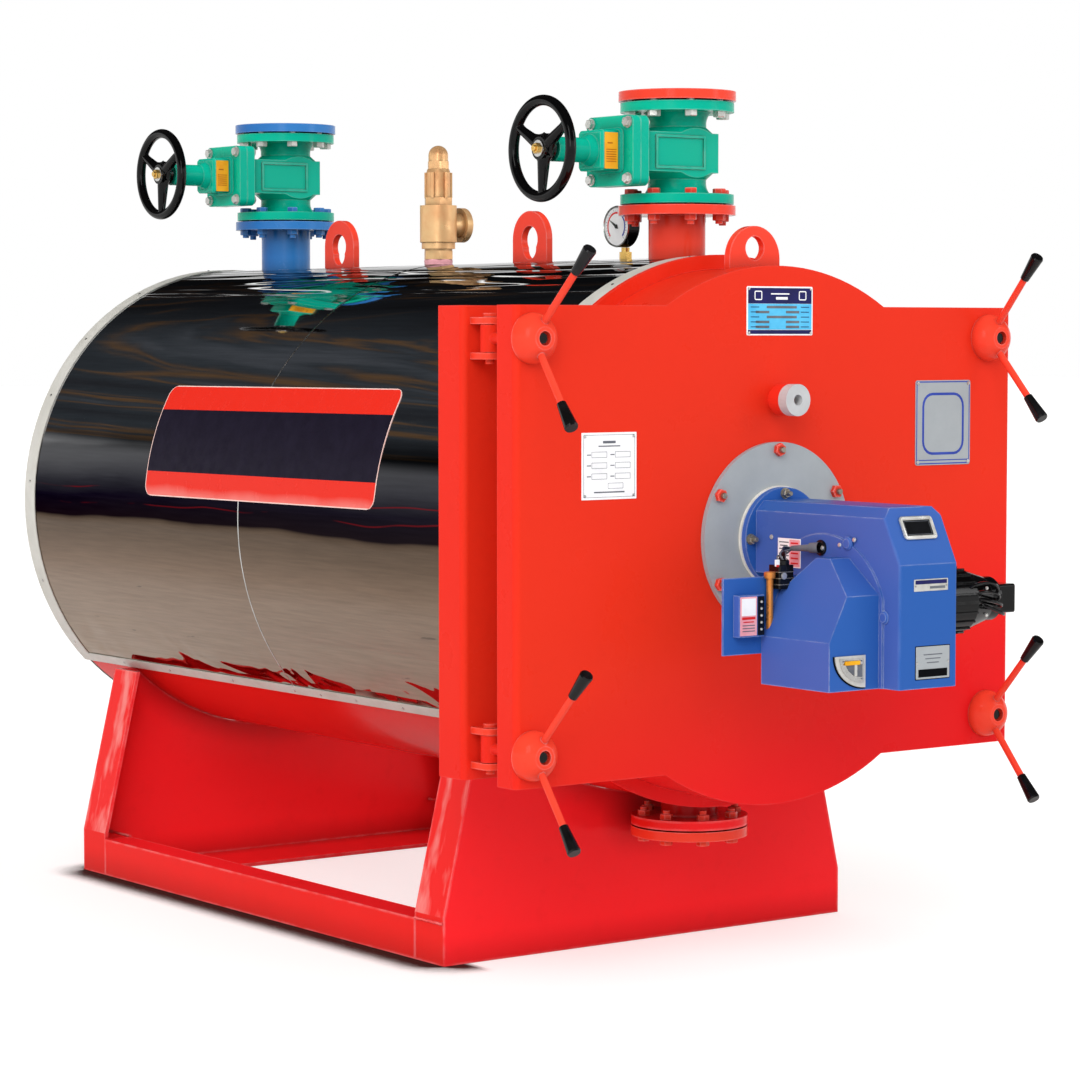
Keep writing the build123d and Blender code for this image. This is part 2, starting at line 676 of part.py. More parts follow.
def make_burner_mount():
    """Plate, gasket and flange that hold the burner, and its blast tube."""
    bx, bz = BURNER_X, BURNER_Z
    slip_r = BLAST_R + BLAST_SLIP
    plate0 = -SEAT - MOUNT_PLATE_T
    gasket0 = plate0 - SEAT - BURNER_GASKET_T
    flange0 = gasket0 - SEAT - BURNER_FLANGE_T
    plate = cyl_y(MOUNT_PLATE_R, plate0, -SEAT, bx, bz)
    save(plate - cyl_y(slip_r, plate0 - 1, 1, bx, bz), "burner_mount_plate")
    ring = cyl_y(BURNER_GASKET_R, gasket0, plate0 - SEAT, bx, bz)
    save(ring - cyl_y(slip_r, gasket0 - 1, 1, bx, bz), "burner_gasket")
    disc = cyl_y(BURNER_FLANGE_R, flange0, gasket0 - SEAT, bx, bz)
    save(disc - cyl_y(BLAST_R + SEAT, flange0 - 1, 1, bx, bz), "burner_flange")
    save(tube_y(BLAST_R, BLAST_WALL, flange0, BLAST_END_D, bx, bz), "blast_tube")
    return flange0 - SEAT


def make_burner_casing(back_d):
    """Housing with the fan casing raised on its left side, and the intake box on that."""
    bx, bz = BURNER_X, BURNER_Z
    left = bx - BOX_HALF_W
    side = [(back_d, bz + BOX_TOP), (BOX_SLANT_D, bz + BOX_TOP), (BOX_FRONT_D, bz + BOX_SLANT_Z),
            (BOX_FRONT_D, bz + BOX_BOTTOM), (BOX_REAR_D, bz + BOX_BOTTOM),
            (BOX_REAR_D, bz + NECK_BOTTOM), (back_d, bz + NECK_BOTTOM)]
    housing = prism_x(side, left, bx + BOX_HALF_W)
    ridge = [e for e in housing.edges()
             if abs(e.center().Z - bz - BOX_TOP) < 1 and abs(e.center().X - bx) > 1]
    housing = chamfer(ridge, BOX_CHAMFER)
    front = [e for e in housing.edges() if abs(abs(e.center().X - bx) - BOX_HALF_W) < 1
             and e.center().Y < yd(BOX_SLANT_D) - 1 and e.length > BOX_EDGE_R
             and abs(e.center().Z - bz - BOX_BOTTOM) > 1]
    housing = fillet(front, BOX_EDGE_R)
    casing_z = bz + VOLUTE_Z
    casing = cyl_x(VOLUTE_R, left - VOLUTE_T, left + 1, VOLUTE_D, casing_z)
    casing += box(left - VOLUTE_T, left + 1, VOLUTE_D - VOLUTE_R, VOLUTE_D, bz + BOX_BOTTOM, casing_z)
    casing &= prism_x(side, left - VOLUTE_T, left + 1)
    casing &= box(left - VOLUTE_T, left + 1, VOLUTE_FRONT_D, back_d, bz + BOX_BOTTOM, bz + BOX_TOP)
    save(housing + casing, "burner_housing")
    right = left - VOLUTE_T - SEAT
    across = [(right, bz + BOX_BOTTOM), (bx + INTAKE_LEFT, bz + BOX_BOTTOM),
              (bx + INTAKE_LEFT, bz + INTAKE_KNEE_Z), (bx + INTAKE_TOP_X, bz + INTAKE_TOP_Z),
              (right, bz + INTAKE_TOP_Z)]
    along = [(INTAKE_FRONT_D, bz + BOX_BOTTOM), (INTAKE_FRONT_D, bz + INTAKE_BROW_Z),
             (INTAKE_RIDGE_D0, bz + INTAKE_TOP_Z), (INTAKE_RIDGE_D1, bz + INTAKE_TOP_Z),
             (INTAKE_REAR_D, bz + INTAKE_REAR_Z), (INTAKE_REAR_D, bz + BOX_BOTTOM)]
    intake = prism_y(across, INTAKE_FRONT_D, INTAKE_REAR_D) & prism_x(along, bx + INTAKE_LEFT, right)
    save(intake, "burner_air_box")
    bracket_d = INTAKE_REAR_D + SEAT
    save(box(bx + BRACKET_LEFT, right, bracket_d, bracket_d + BRACKET_T, bz + BRACKET_Z0, bz + BRACKET_Z1),
         "burner_bracket")
    save(box(bx + CONTROL_X0, bx + CONTROL_X1, INTAKE_REAR_D - CONTROL_T, INTAKE_REAR_D,
             bz + CONTROL_Z0, bz + CONTROL_Z1), "burner_control_box")


def make_motor():
    """Ribbed motor with a tapered end shield and its terminal box."""
    x0 = BURNER_X + BOX_HALF_W + SEAT
    z = BURNER_Z + MOTOR_Z
    x1 = x0 + MOTOR_L
    x2 = x1 + MOTOR_TAPER_L
    x3 = x2 + MOTOR_BELL_L
    core_r = MOTOR_R - MOTOR_RIB_H
    motor = cyl_x(core_r, x0, x1, MOTOR_D, z)
    rib = box(x0, x1, MOTOR_D - MOTOR_RIB_T / 2, MOTOR_D + MOTOR_RIB_T / 2, z + core_r - 1, z + MOTOR_R)
    axis = Axis((0, yd(MOTOR_D), z), (1, 0, 0))
    for i in range(MOTOR_RIBS):
        motor += rib.rotate(axis, 360 / MOTOR_RIBS * i)
    motor += rod_between((x1 - 1, yd(MOTOR_D), z), (x2, yd(MOTOR_D), z), core_r, MOTOR_BELL_R)
    motor += cyl_x(MOTOR_BELL_R - MOTOR_RIB_H, x2 - 1, x3, MOTOR_D, z)
    half = MOTOR_BOX_HALF
    block = box(x3 - 1, x3 + MOTOR_BOX_L, MOTOR_D - half, MOTOR_D + half, z - half, z + half)
    save(motor + fillet(block.edges().filter_by(Axis.X), BOX_EDGE_R), "burner_motor")


def make_valve_body(prefix, d, z0):
    """Flanged body, flared to both flanges, with a flat-sided box round the wedge."""
    pipe_in = PIPE_R - PIPE_WALL
    length = VALVE_FACE_TO_FACE
    z1 = z0 + length
    zc = (z0 + z1) / 2
    body = flange(0, d, z0, 0, FLANGE_T, VALVE_FLANGE_D)
    body += flange(0, d, z1 - FLANGE_T, 0, FLANGE_T, VALVE_FLANGE_D)
    flare_end = FLANGE_T + VALVE_FLARE_H
    mid = (VALVE_WAIST_R + (VALVE_FLARE_R - VALVE_WAIST_R) * 0.3, FLANGE_T + VALVE_FLARE_H * 0.45, None)
    top_mid = (mid[0], length - mid[1], None)
    neck = [(0, FLANGE_T), (VALVE_FLARE_R, FLANGE_T), mid, (VALVE_WAIST_R, flare_end),
            (VALVE_WAIST_R, length - flare_end), top_mid, (VALVE_FLARE_R, length - FLANGE_T),
            (0, length - FLANGE_T)]
    plane = Plane(origin=(0, yd(d), z0))
    body += turned(neck, plane)
    half_h = VALVE_BOX_HALF_H
    slope0 = length / 2 - half_h - VALVE_SHOULDER_H
    slope1 = slope0 + VALVE_SHOULDER_H
    shoulder = turned([(0, slope0), (VALVE_WAIST_R, slope0), (VALVE_SHOULDER_R, slope1),
                       (VALVE_SHOULDER_R, length - slope1), (VALVE_WAIST_R, length - slope0),
                       (0, length - slope0)], plane)
    half_d = VALVE_BOX_HALF_D
    slab = box(BODY_PLATE_X, 2 * VALVE_BOX_BACK_X, d - half_d, d + half_d, z0, z1)
    chest = box(BODY_PLATE_X, VALVE_BOX_BACK_X, d - half_d, d + half_d, zc - half_h, zc + half_h)
    chest = fillet(chest.edges().filter_by(Axis.Z), VALVE_BOX_EDGE_R)
    body += (shoulder & slab) + chest
    for face_d, way in ((d - half_d, -1), (d + half_d, 1)):
        p0, p1 = sorted((face_d - way, face_d + way * VALVE_PANEL_H))
        x0, x1 = VALVE_PANEL_X0, VALVE_PANEL_X1
        rim = VALVE_PANEL_RIM
        high = VALVE_PANEL_HALF_H
        low = high - rim
        frame = box(x0, x1, p0, p1, zc - high, zc + high)
        body += frame - box(x0 + rim, x1 - rim, p0 - 1, p1 + 1, zc - low, zc + low)
    body += rounded_plate(BONNET_X, BODY_PLATE_X + 1, d, zc, BONNET_HALF_D, BONNET_HALF_H, BONNET_CORNER_R)
    save(body - cyl_z(pipe_in, z0 - 1, z1 + 1, 0, d), f"{prefix}_valve_body")


def make_bonnet(prefix, d, zc):
    """Bolted bonnet with its dome, and the long neck that guides the stem."""
    plate_x0 = BONNET_X - SEAT - BONNET_PLATE_T
    bonnet = rounded_plate(plate_x0, BONNET_X - SEAT, d, zc, BONNET_HALF_D, BONNET_HALF_H, BONNET_CORNER_R)
    rise = BONNET_ROOT_R - DOME_R
    bend = rise * 0.3
    neck_h = DOME_L + NECK_SLOPE_L
    end_h = plate_x0 - NECK_END_X
    outline = [(0, -1), (BONNET_ROOT_R, -1), (BONNET_ROOT_R, 0), (DOME_R + bend, bend, None),
               (DOME_R, rise), (DOME_R, DOME_L - rise), (DOME_R - bend, DOME_L - bend, None),
               (DOME_R - rise, DOME_L), (NECK_R, neck_h), (NECK_R, end_h), (0, end_h)]
    bonnet += turned(outline, Plane(origin=(plate_x0, yd(d), zc), z_dir=(-1, 0, 0)))
    bonnet -= cyl_x(STEM_R + STEM_FIT, NECK_END_X - 1, STEM_ROOT_X + 5, d, zc)
    save(bonnet, f"{prefix}_bonnet")
    save(cyl_x(STEM_R, STEM_END_X, STEM_ROOT_X, d, zc), f"{prefix}_stem")


def make_handwheel(prefix, d, zc):
    """Rim, dished hub and three spokes that taper towards the rim."""
    plane = Plane(origin=(WHEEL_X, yd(d), zc), z_dir=(-1, 0, 0))
    rim = plane.location * Torus(WHEEL_R - WHEEL_RIM_R, WHEEL_RIM_R)
    hub_x = WHEEL_X + WHEEL_DISH
    wheel = cyl_x(WHEEL_HUB_R, hub_x - WHEEL_HUB_L / 2, hub_x + WHEEL_HUB_L / 2, d, zc)
    for deg in SPOKE_ANGLES:
        a = math.radians(deg)
        inner = WHEEL_HUB_R - SPOKE_ROOT_R
        outer = WHEEL_R - WHEEL_RIM_R
        start = (hub_x, yd(d) + inner * math.cos(a), zc + inner * math.sin(a))
        end = (WHEEL_X, yd(d) + outer * math.cos(a), zc + outer * math.sin(a))
        wheel += rod_between(start, end, SPOKE_ROOT_R, SPOKE_END_R)
    wheel -= cyl_x(STEM_R + SEAT, hub_x - WHEEL_HUB_L, hub_x + WHEEL_HUB_L, d, zc)
    save(rim + wheel, f"{prefix}_handwheel")


def make_valve(prefix, d, flange_z):
    """Flanged gate valve standing on a nozzle, with the counter flange bolted on top."""
    pipe_in = PIPE_R - PIPE_WALL
    foot = AXIS_Z + SHELL_R - 3 * SHELL_WALL
    nozzle = cyl_z(PIPE_R, foot, flange_z - 1, 0, d) - cyl_z(pipe_in, foot - 1, flange_z, 0, d)
    nozzle -= cyl_y(SHELL_R + SEAT, d - FLANGE_D, d + FLANGE_D)
    nozzle += flange(0, d, flange_z - FLANGE_T, pipe_in)
    save(nozzle, f"{prefix}_nozzle")
    z0 = flange_z + GASKET_T
    z1 = z0 + VALVE_FACE_TO_FACE
    zc = (z0 + z1) / 2
    make_valve_body(prefix, d, z0)
    make_bonnet(prefix, d, zc)
    make_handwheel(prefix, d, zc)
    save(flange(0, d, z1 + GASKET_T, PIPE_R + SOCKET_FIT), f"{prefix}_counter_flange")


def make_safety_valve():
    """Cast safety valve: hexagon foot, round body with its outlet, ribbed crown and domed cap."""
    top = AXIS_Z + SHELL_R
    hex0 = SAFETY_FOOT_H
    neck0 = hex0 + SAFETY_HEX_H
    ring0 = neck0 + SAFETY_NECK_H
    ring1 = ring0 + SAFETY_RING_H
    body0 = ring1 + SAFETY_GROOVE
    body1 = body0 + SAFETY_BODY_H
    plane = Plane(origin=(0, yd(SAFETY_D), top))
    neck_r = SAFETY_FOOT_R + 1
    body = turned([(0, SEAT), (SAFETY_FOOT_R, SEAT), (SAFETY_FOOT_R, neck0), (neck_r, neck0), (neck_r, ring0),
                   (SAFETY_RING_R, ring0), (SAFETY_RING_R, ring1), (SAFETY_BODY_R - 1, ring1),
                   (SAFETY_BODY_R, body0), (SAFETY_BODY_R, body1), (0, body1)], plane)
    body += hex_z(SAFETY_HEX, top + hex0, top + neck0, 0, SAFETY_D)
    out_z = top + SAFETY_OUT_Z
    body += cyl_x(SAFETY_ARM_R, 0, SAFETY_OUT_X, SAFETY_D, out_z)
    body += cyl_x(SAFETY_BOSS_R, SAFETY_OUT_X - SAFETY_BOSS_L, SAFETY_OUT_X, SAFETY_D, out_z)
    body -= cyl_x(SAFETY_OUT_R, SAFETY_OUT_X - SAFETY_OUT_L, SAFETY_OUT_X + 1, SAFETY_D, out_z)
    save(body, "safety_valve_body")
    crown0 = body1 + SEAT
    rib0 = crown0 + CROWN_HEX_H
    rib1 = rib0 + CROWN_RIB_H
    nut0 = rib1 + CROWN_SHOULDER_H
    cap0 = nut0 + CAP_HEX_H
    cap1 = cap0 + CAP_H
    bend = math.sqrt(0.5)
    crown = turned([(0, crown0), (CROWN_CORE_R, crown0), (CROWN_CORE_R, rib1), (CROWN_TOP_R, nut0),
                    (CAP_R, nut0), (CAP_R, cap1 - CAP_R), (CAP_R * bend, cap1 - CAP_R * (1 - bend), None),
                    (0, cap1)], plane)
    crown += hex_z(CROWN_HEX, top + crown0, top + rib0, 0, SAFETY_D)
    crown += hex_z(CAP_HEX, top + nut0, top + cap0, 0, SAFETY_D)
    half = CROWN_RIB_W / 2
    rib = box(CROWN_TOP_R - half, CROWN_RIB_R, SAFETY_D - half, SAFETY_D + half, top + rib0 - 1, top + rib1)
    for i in range(CROWN_RIBS):
        crown += rib.rotate(Axis((0, yd(SAFETY_D), 0), (0, 0, 1)), 360 / CROWN_RIBS * (i + 0.5))
    save(crown, "safety_valve_bonnet")


def make_gauge():
    """Pressure gauge facing left on its hexagon cock."""
    top = AXIS_Z + SHELL_R
    z = AXIS_Z + CLAD_R + GAUGE_RISE
    hex0 = AXIS_Z + CLAD_R + SEAT
    cock = cyl_z(COCK_R, top + SEAT, z - GAUGE_R - SEAT, 0, GAUGE_D)
    cock += hex_z(COCK_HEX, hex0, hex0 + COCK_HEX_H, 0, GAUGE_D)
    save(cock, "gauge_cock")
    depth = GAUGE_BACK_X - GAUGE_FRONT_X
    case = [(0, 0), (GAUGE_R - 1, 0), (GAUGE_R, 1), (GAUGE_R, depth - GAUGE_EDGE),
            (GAUGE_R - GAUGE_EDGE, depth), (0, depth)]
    save(turned(case, Plane(origin=(GAUGE_FRONT_X, yd(GAUGE_D), z), z_dir=(1, 0, 0))), "pressure_gauge")


def make_lifting_lugs():
    """Two upright eyes on the barrel and the arched one across the drum."""
    top = AXIS_Z + SHELL_R
    half_t = LIFT_LUG_T / 2
    half_w = LIFT_LUG_HALF_W
    lugs = []
    for d in (MIDDLE_LUG_D, REAR_LUG_D):
        arch = box(-half_t, half_t, d - half_w, d + half_w, top - LIFT_LUG_T, top + LIFT_HOLE_Z)
        arch += cyl_x(half_w, -half_t, half_t, d, top + LIFT_HOLE_Z)
        arch -= cyl_x(LIFT_HOLE_R, -LIFT_LUG_T, LIFT_LUG_T, d, top + LIFT_HOLE_Z)
        arch -= cyl_x(LIFT_HOLE_LOW_R, -LIFT_LUG_T, LIFT_LUG_T, d, top + LIFT_HOLE_LOW_Z)
        lugs.append(arch - cyl_y(SHELL_R + SEAT, d - 2 * half_w, d + 2 * half_w))
    drum_top = AXIS_Z + DRUM_R
    d0 = FRONT_LUG_D
    d1 = d0 + LIFT_LUG_T
    arch = box(-FRONT_LUG_R, FRONT_LUG_R, d0, d1, drum_top - 2 * DRUM_WALL, drum_top + FRONT_LUG_RISE)
    arch += cyl_y(FRONT_LUG_R, d0, d1, 0, drum_top + FRONT_LUG_RISE)
    arch -= cyl_y(FRONT_EYE_R, d0 - 1, d1 + 1, 0, FRONT_EYE_Z)
    lugs.append(arch - cyl_y(DRUM_R + SEAT, d0 - 1, d1 + 1))
    save(Compound(lugs), "lifting_lugs")


def make_drain():
    """Bottom nozzle closed by a blind flange, and every flange gasket."""
    pipe_in = PIPE_R - PIPE_WALL
    z1 = DRAIN_FLANGE_Z + FLANGE_T
    foot = AXIS_Z - SHELL_R + 3 * SHELL_WALL
    drain = cyl_z(PIPE_R, z1 - 1, foot, 0, DRAIN_D) - cyl_z(pipe_in, z1 - 2, foot + 1, 0, DRAIN_D)
    drain -= cyl_y(SHELL_R + SEAT, DRAIN_D - FLANGE_D, DRAIN_D + FLANGE_D)
    save(drain + flange(0, DRAIN_D, DRAIN_FLANGE_Z, pipe_in), "drain_nozzle")
    blind0 = DRAIN_FLANGE_Z - GASKET_T - FLANGE_T
    save(flange(0, DRAIN_D, blind0, 0), "drain_blind_flange")
    seals = [gasket(DRAIN_D, blind0 + FLANGE_T)]
    for d, flange_z in ((SUPPLY_D, SUPPLY_FLANGE_Z), (RETURN_D, RETURN_FLANGE_Z)):
        seals.append(gasket(d, flange_z))
        seals.append(gasket(d, flange_z + GASKET_T + VALVE_FACE_TO_FACE))
    save(Compound(seals), "flange_gaskets")


if __name__ == "__main__":
    os.makedirs("parts", exist_ok=True)
    make_base()
    make_barrel()
    make_cladding()
    make_smoke_box()
    make_front()
    make_hinges()
    make_door()
    make_clamps()
    make_burner_casing(make_burner_mount())
    make_motor()
    make_valve("supply", SUPPLY_D, SUPPLY_FLANGE_Z)
    make_valve("return", RETURN_D, RETURN_FLANGE_Z)
    make_safety_valve()
    make_gauge()
    make_lifting_lugs()
    make_drain()
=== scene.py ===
"""Industrial boiler: finishes, small hardware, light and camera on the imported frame."""
import json
import math

import bmesh
import bpy
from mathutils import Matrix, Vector


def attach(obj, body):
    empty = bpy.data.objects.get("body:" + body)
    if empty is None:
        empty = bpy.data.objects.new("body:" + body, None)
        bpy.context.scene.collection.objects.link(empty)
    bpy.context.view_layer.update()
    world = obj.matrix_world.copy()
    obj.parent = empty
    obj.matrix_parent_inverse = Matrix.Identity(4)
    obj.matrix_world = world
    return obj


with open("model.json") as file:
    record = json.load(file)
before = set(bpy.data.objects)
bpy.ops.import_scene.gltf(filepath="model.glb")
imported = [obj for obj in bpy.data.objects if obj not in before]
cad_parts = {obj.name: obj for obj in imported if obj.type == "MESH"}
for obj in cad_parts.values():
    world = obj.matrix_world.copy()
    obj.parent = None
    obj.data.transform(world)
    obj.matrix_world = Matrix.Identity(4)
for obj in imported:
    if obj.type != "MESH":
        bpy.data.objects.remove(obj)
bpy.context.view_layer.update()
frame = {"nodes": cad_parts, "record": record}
NODES = frame["nodes"]
scene = bpy.context.scene

# Frame values in millimetres. The depth d is measured back from the closed door's front plane.
MM = 0.001
DOOR_Y = -376.0
AXIS_Z = 799.0
CLAD_R = 513.5
TRIM_R = 516.0
SHELL_D1 = 1953.0
RIGHT, BACK, UP = Vector((1, 0, 0)), Vector((0, 1, 0)), Vector((0, 0, 1))


def m3(x, d, z):
    """Point in metres from millimetres."""
    return Vector((x, DOOR_Y + d, z)) * MM


def on_barrel(radius, d, deg):
    """Point on the barrel's left side, deg above the horizontal."""
    a = math.radians(deg)
    return m3(-radius * math.cos(a), d, AXIS_Z + radius * math.sin(a))


def rgb(r, g, b):
    """Linear colour of an sRGB colour given in 0 to 255."""
    out = []
    for c in (r, g, b):
        c = c / 255
        out.append(c / 12.92 if c <= 0.04045 else ((c + 0.055) / 1.055) ** 2.4)
    return (*out, 1.0)


def add_object(name, data, at=(0, 0, 0), look=None):
    """Puts an object into the scene, turned to look along a direction where one is given."""
    obj = bpy.data.objects.new(name, data)
    obj.location = at
    if look is not None:
        obj.rotation_mode = "QUATERNION"
        obj.rotation_quaternion = look.to_track_quat("-Z", "Y")
    scene.collection.objects.link(obj)
    return obj


# Camera, fitted to the photograph
CAMERA_AT = (-3.9036, -4.9217, 1.1679)
CAMERA_YAW, CAMERA_PITCH = math.radians(36.5), math.radians(3.6)
LENS, SENSOR = 108.95, 36.0

cam_data = bpy.data.cameras.new("camera")
cam_data.sensor_fit = "HORIZONTAL"
cam_data.sensor_width = SENSOR
cam_data.lens = LENS
cam_data.clip_end = 200.0
level = math.cos(CAMERA_PITCH)
view = Vector((math.sin(CAMERA_YAW) * level, math.cos(CAMERA_YAW) * level, -math.sin(CAMERA_PITCH)))
scene.camera = add_object("camera", cam_data, CAMERA_AT, view)


# Materials


class NodeTree:
    """A node tree under construction, with short calls for the nodes it needs."""

    def __init__(self, tree):
        self.tree = tree

    def add(self, kind, **props):
        node = self.tree.nodes.new(kind)
        for key, value in props.items():
            setattr(node, key, value)
        return node

    def link(self, a, b):
        self.tree.links.new(a, b)

    def coords(self, scale=(1, 1, 1), output="Object"):
        place = self.add("ShaderNodeTexCoord")
        mapping = self.add("ShaderNodeMapping")
        self.put(mapping, Vector=place.outputs[output], Scale=scale)
        return mapping.outputs["Vector"]

    def split(self, output):
        """X, Y and Z of a texture coordinate."""
        place = self.add("ShaderNodeTexCoord")
        parts = self.add("ShaderNodeSeparateXYZ")
        self.link(place.outputs[output], parts.inputs["Vector"])
        return [parts.outputs[k] for k in "XYZ"]

    def noise(self, vector, scale, detail=3.0, rough=0.55, distortion=0.0):
        node = self.add("ShaderNodeTexNoise")
        self.put(node, Vector=vector, Scale=scale, Detail=detail, Roughness=rough, Distortion=distortion)
        return node.outputs["Fac"]

    def ramp(self, fac, stops):
        node = self.add("ShaderNodeValToRGB")
        elements = node.color_ramp.elements
        while len(elements) < len(stops):
            elements.new(0.5)
        for element, (place, colour) in zip(elements, stops):
            element.position = place
            element.color = (*colour, 1.0)
        self.link(fac, node.inputs["Fac"])
        return node.outputs["Color"]

    def put(self, node, **values):
        """Fills the named inputs of a node, with _ for a space."""
        self.fill([node.inputs[key.replace("_", " ")] for key in values], values.values())

    def fill(self, sockets, values):
        """Links or sets each input, and leaves it alone where its value is None."""
        for socket, value in zip(sockets, values):
            if value is None:
                continue
            if hasattr(value, "is_linked"):
                self.link(value, socket)
            else:
                socket.default_value = value

    def mix(self, fac, a, b, mode="MIX"):
        node = self.add("ShaderNodeMix", data_type="RGBA", blend_type=mode)
        self.fill((node.inputs["Factor"], node.inputs[6], node.inputs[7]), (fac, a, b))
        return node.outputs[2]

    def math(self, op, a, b=None, clamp=False):
        node = self.add("ShaderNodeMath", operation=op, use_clamp=clamp)
        self.fill(node.inputs, (a, b))
        return node.outputs[0]

    def times(self, a, b):
        return self.math("MULTIPLY", a, b)

    def span(self, value, lo, hi, out_lo=0.0, out_hi=1.0, curve="LINEAR"):
        """Maps lo to hi onto out_lo to out_hi, and holds the ends."""
        node = self.add("ShaderNodeMapRange", interpolation_type=curve)
        self.put(node, Value=value, From_Min=lo, From_Max=hi, To_Min=out_lo, To_Max=out_hi)
        return node.outputs["Result"]

    def bump(self, height, strength, distance, normal=None):
        node = self.add("ShaderNodeBump")
        self.put(node, Strength=strength, Distance=distance, Height=height, Normal=normal)
        return node.outputs["Normal"]

    def edge(self, radius):
        """How far a rounded normal leaves the flat one: nought on a face, more along its edges."""
        bevel = self.add("ShaderNodeBevel", samples=2)
        self.put(bevel, Radius=radius)
        shape = self.add("ShaderNodeNewGeometry")
        dot = self.add("ShaderNodeVectorMath", operation="DOT_PRODUCT")
        self.link(bevel.outputs["Normal"], dot.inputs[0])
        self.link(shape.outputs["Normal"], dot.inputs[1])
        return self.math("SUBTRACT", 1.0, dot.outputs["Value"])

    def paint_crevice_shade(self, colour, reach, depth):
        """Paints shade into a colour where other surfaces stand close, from ambient occlusion."""
        near = self.add("ShaderNodeAmbientOcclusion", samples=2)
        self.put(near, Distance=reach)
        tone = self.ramp(near.outputs["AO"], [(0.35, (depth,) * 3), (0.9, (1.0, 1.0, 1.0))])
        return self.mix(1.0, colour, tone, "MULTIPLY")


class Shader(NodeTree):
    """A material whose Principled BSDF is filled in by set()."""

    def __init__(self, name):
        self.mat = bpy.data.materials.new(name)
        self.mat.use_nodes = True
        super().__init__(self.mat.node_tree)
        self.bsdf = self.tree.nodes["Principled BSDF"]

    def set(self, **values):
        self.put(self.bsdf, **values)


# Shaded crimson painted on the lower paint.
SHADED_CRIMSON = (0.80, 0.012, 0.014, 1)
# Pale glare painted on leaning faces.
PAINTED_SHEEN = (0.95, 0.50, 0.46, 1)


def enamel(name, lit, side, roughness=0.3, gloss=0.1, dirt=0.12, peel=1.0, edge=0.4, drift=0.12,
           fall=None, bend=0.0035, shade=0.0, reach=0.03, sheen=0.0):
    """Sprayed paint with painted light: a lit tone for its front and top and a shaded tone for its sides.

    fall is the slanting height over which it turns to a painted shaded crimson, edge the strength of the
    painted highlight within bend of an edge, shade the painted shade where something stands within reach, and
    sheen the painted highlight in pale patches on leaning faces.
    """
    s = Shader(name)
    v = s.coords()
    _, ny, nz = s.split("Normal")
    # Painted light: faces turned to the front or up take the lit tone, the other faces the shaded tone.
    front = s.math("MULTIPLY", ny, -1.0, clamp=True)
    top = s.math("MULTIPLY", nz, 0.9, clamp=True)
    drifting = s.span(s.noise(v, 2.6, 3.0), 0.3, 0.7, -drift, drift)
    lit_facing = s.math("ADD", s.math("MAXIMUM", front, top), drifting, clamp=True)
    colour = s.mix(lit_facing, side, lit)
    # Painted shade: the paint turns to the shaded crimson lower down.
    if fall:
        x, _, z = s.split("Object")
        slant = s.math("SUBTRACT", z, s.times(x, 0.35))
        colour = s.mix(s.span(slant, *fall), SHADED_CRIMSON, colour)
    deep = (side[0] * 0.72, side[1] * 0.8, side[2] * 0.8, 1)
    dust = s.noise(v, 21.0, 6.0, 0.65)
    colour = s.mix(s.span(dust, 0.55, 0.8, 0.0, dirt), colour, deep)
    specks = s.noise(v, 160.0, 2.0)
    colour = s.mix(s.span(specks, 0.70, 0.78, 0.0, dirt), colour, deep)
    # Painted highlight: a paler tone along the edges, broken up by noise.
    painted_shine = tuple(c + (1 - c) * 0.45 for c in lit[:3]) + (1.0,)
    highlight_breaks = s.span(s.noise(v, 26.0, 3.0), 0.36, 0.58, 0.25, 1.0)
    rim = s.times(s.span(s.edge(bend), 0.02, 0.16, 0.0, edge), highlight_breaks)
    colour = s.mix(rim, colour, painted_shine)
    # Painted highlight: pale glare in patches on faces that lean up a little.
    if sheen:
        leaning = s.times(s.span(nz, 0.06, 0.1), s.span(nz, 0.5, 0.4))
        glare_patch = s.span(s.noise(s.coords((1.0, 3.0, 1.0)), 7.0, 3.0), 0.5, 0.66, 0.0, sheen)
        colour = s.mix(s.times(leaning, glare_patch), colour, PAINTED_SHEEN)
    # Painted shade where other surfaces stand close.
    if shade:
        colour = s.paint_crevice_shade(colour, reach, 1.0 - shade)
    s.set(Base_Color=colour, Specular_IOR_Level=gloss)
    s.set(Roughness=s.span(s.noise(v, 9.0, 5.0, 0.6), 0.3, 0.75, roughness * 0.75, roughness * 1.4))
    ripple = s.bump(s.noise(v, 240.0 * peel, 2.0), 0.12, 0.0006)
    s.set(Normal=s.bump(s.noise(v, 7.0, 2.0), 0.12, 0.004, ripple))
    return s.mat


def metal(name, base, dark, roughness=0.25, metallic=1.0, grain=300.0, shade=0.0):
    """Plated or cast metal: tone drift, darker stains and a fine grain, with painted shade in its crevices
    where shade is given.
    """
    s = Shader(name)
    v = s.coords()
    tone = s.noise(v, 14.0, 5.0, 0.6)
    colour = s.mix(s.span(tone, 0.35, 0.75), rgb(*base), rgb(*dark))
    # Painted shade in the crevices where shade is given.
    if shade:
        colour = s.paint_crevice_shade(colour, 0.02, 1.0 - shade)
    s.set(Base_Color=colour, Metallic=metallic)
    s.set(Roughness=s.span(s.noise(v, 40.0, 4.0), 0.3, 0.7, roughness * 0.7, roughness * 1.6))
    s.set(Normal=s.bump(s.noise(v, grain, 3.0), 0.15, 0.0005))
    return s.mat


def plastic(name, base, shade, roughness=0.4, grain=600.0, gloss=0.2):
    """Moulded plastic, rubber or print with a fine grain and rubbed, lighter spots."""
    s = Shader(name)
    v = s.coords()
    colour = s.mix(s.span(s.noise(v, 30.0, 4.0), 0.4, 0.75), rgb(*base), rgb(*shade))
    s.set(Base_Color=colour, Specular_IOR_Level=gloss)
    s.set(Roughness=s.span(s.noise(v, 55.0, 4.0), 0.3, 0.7, roughness * 0.8, roughness * 1.3))
    s.set(Normal=s.bump(s.noise(v, grain, 2.0), 0.12, 0.0003))
    return s.mat
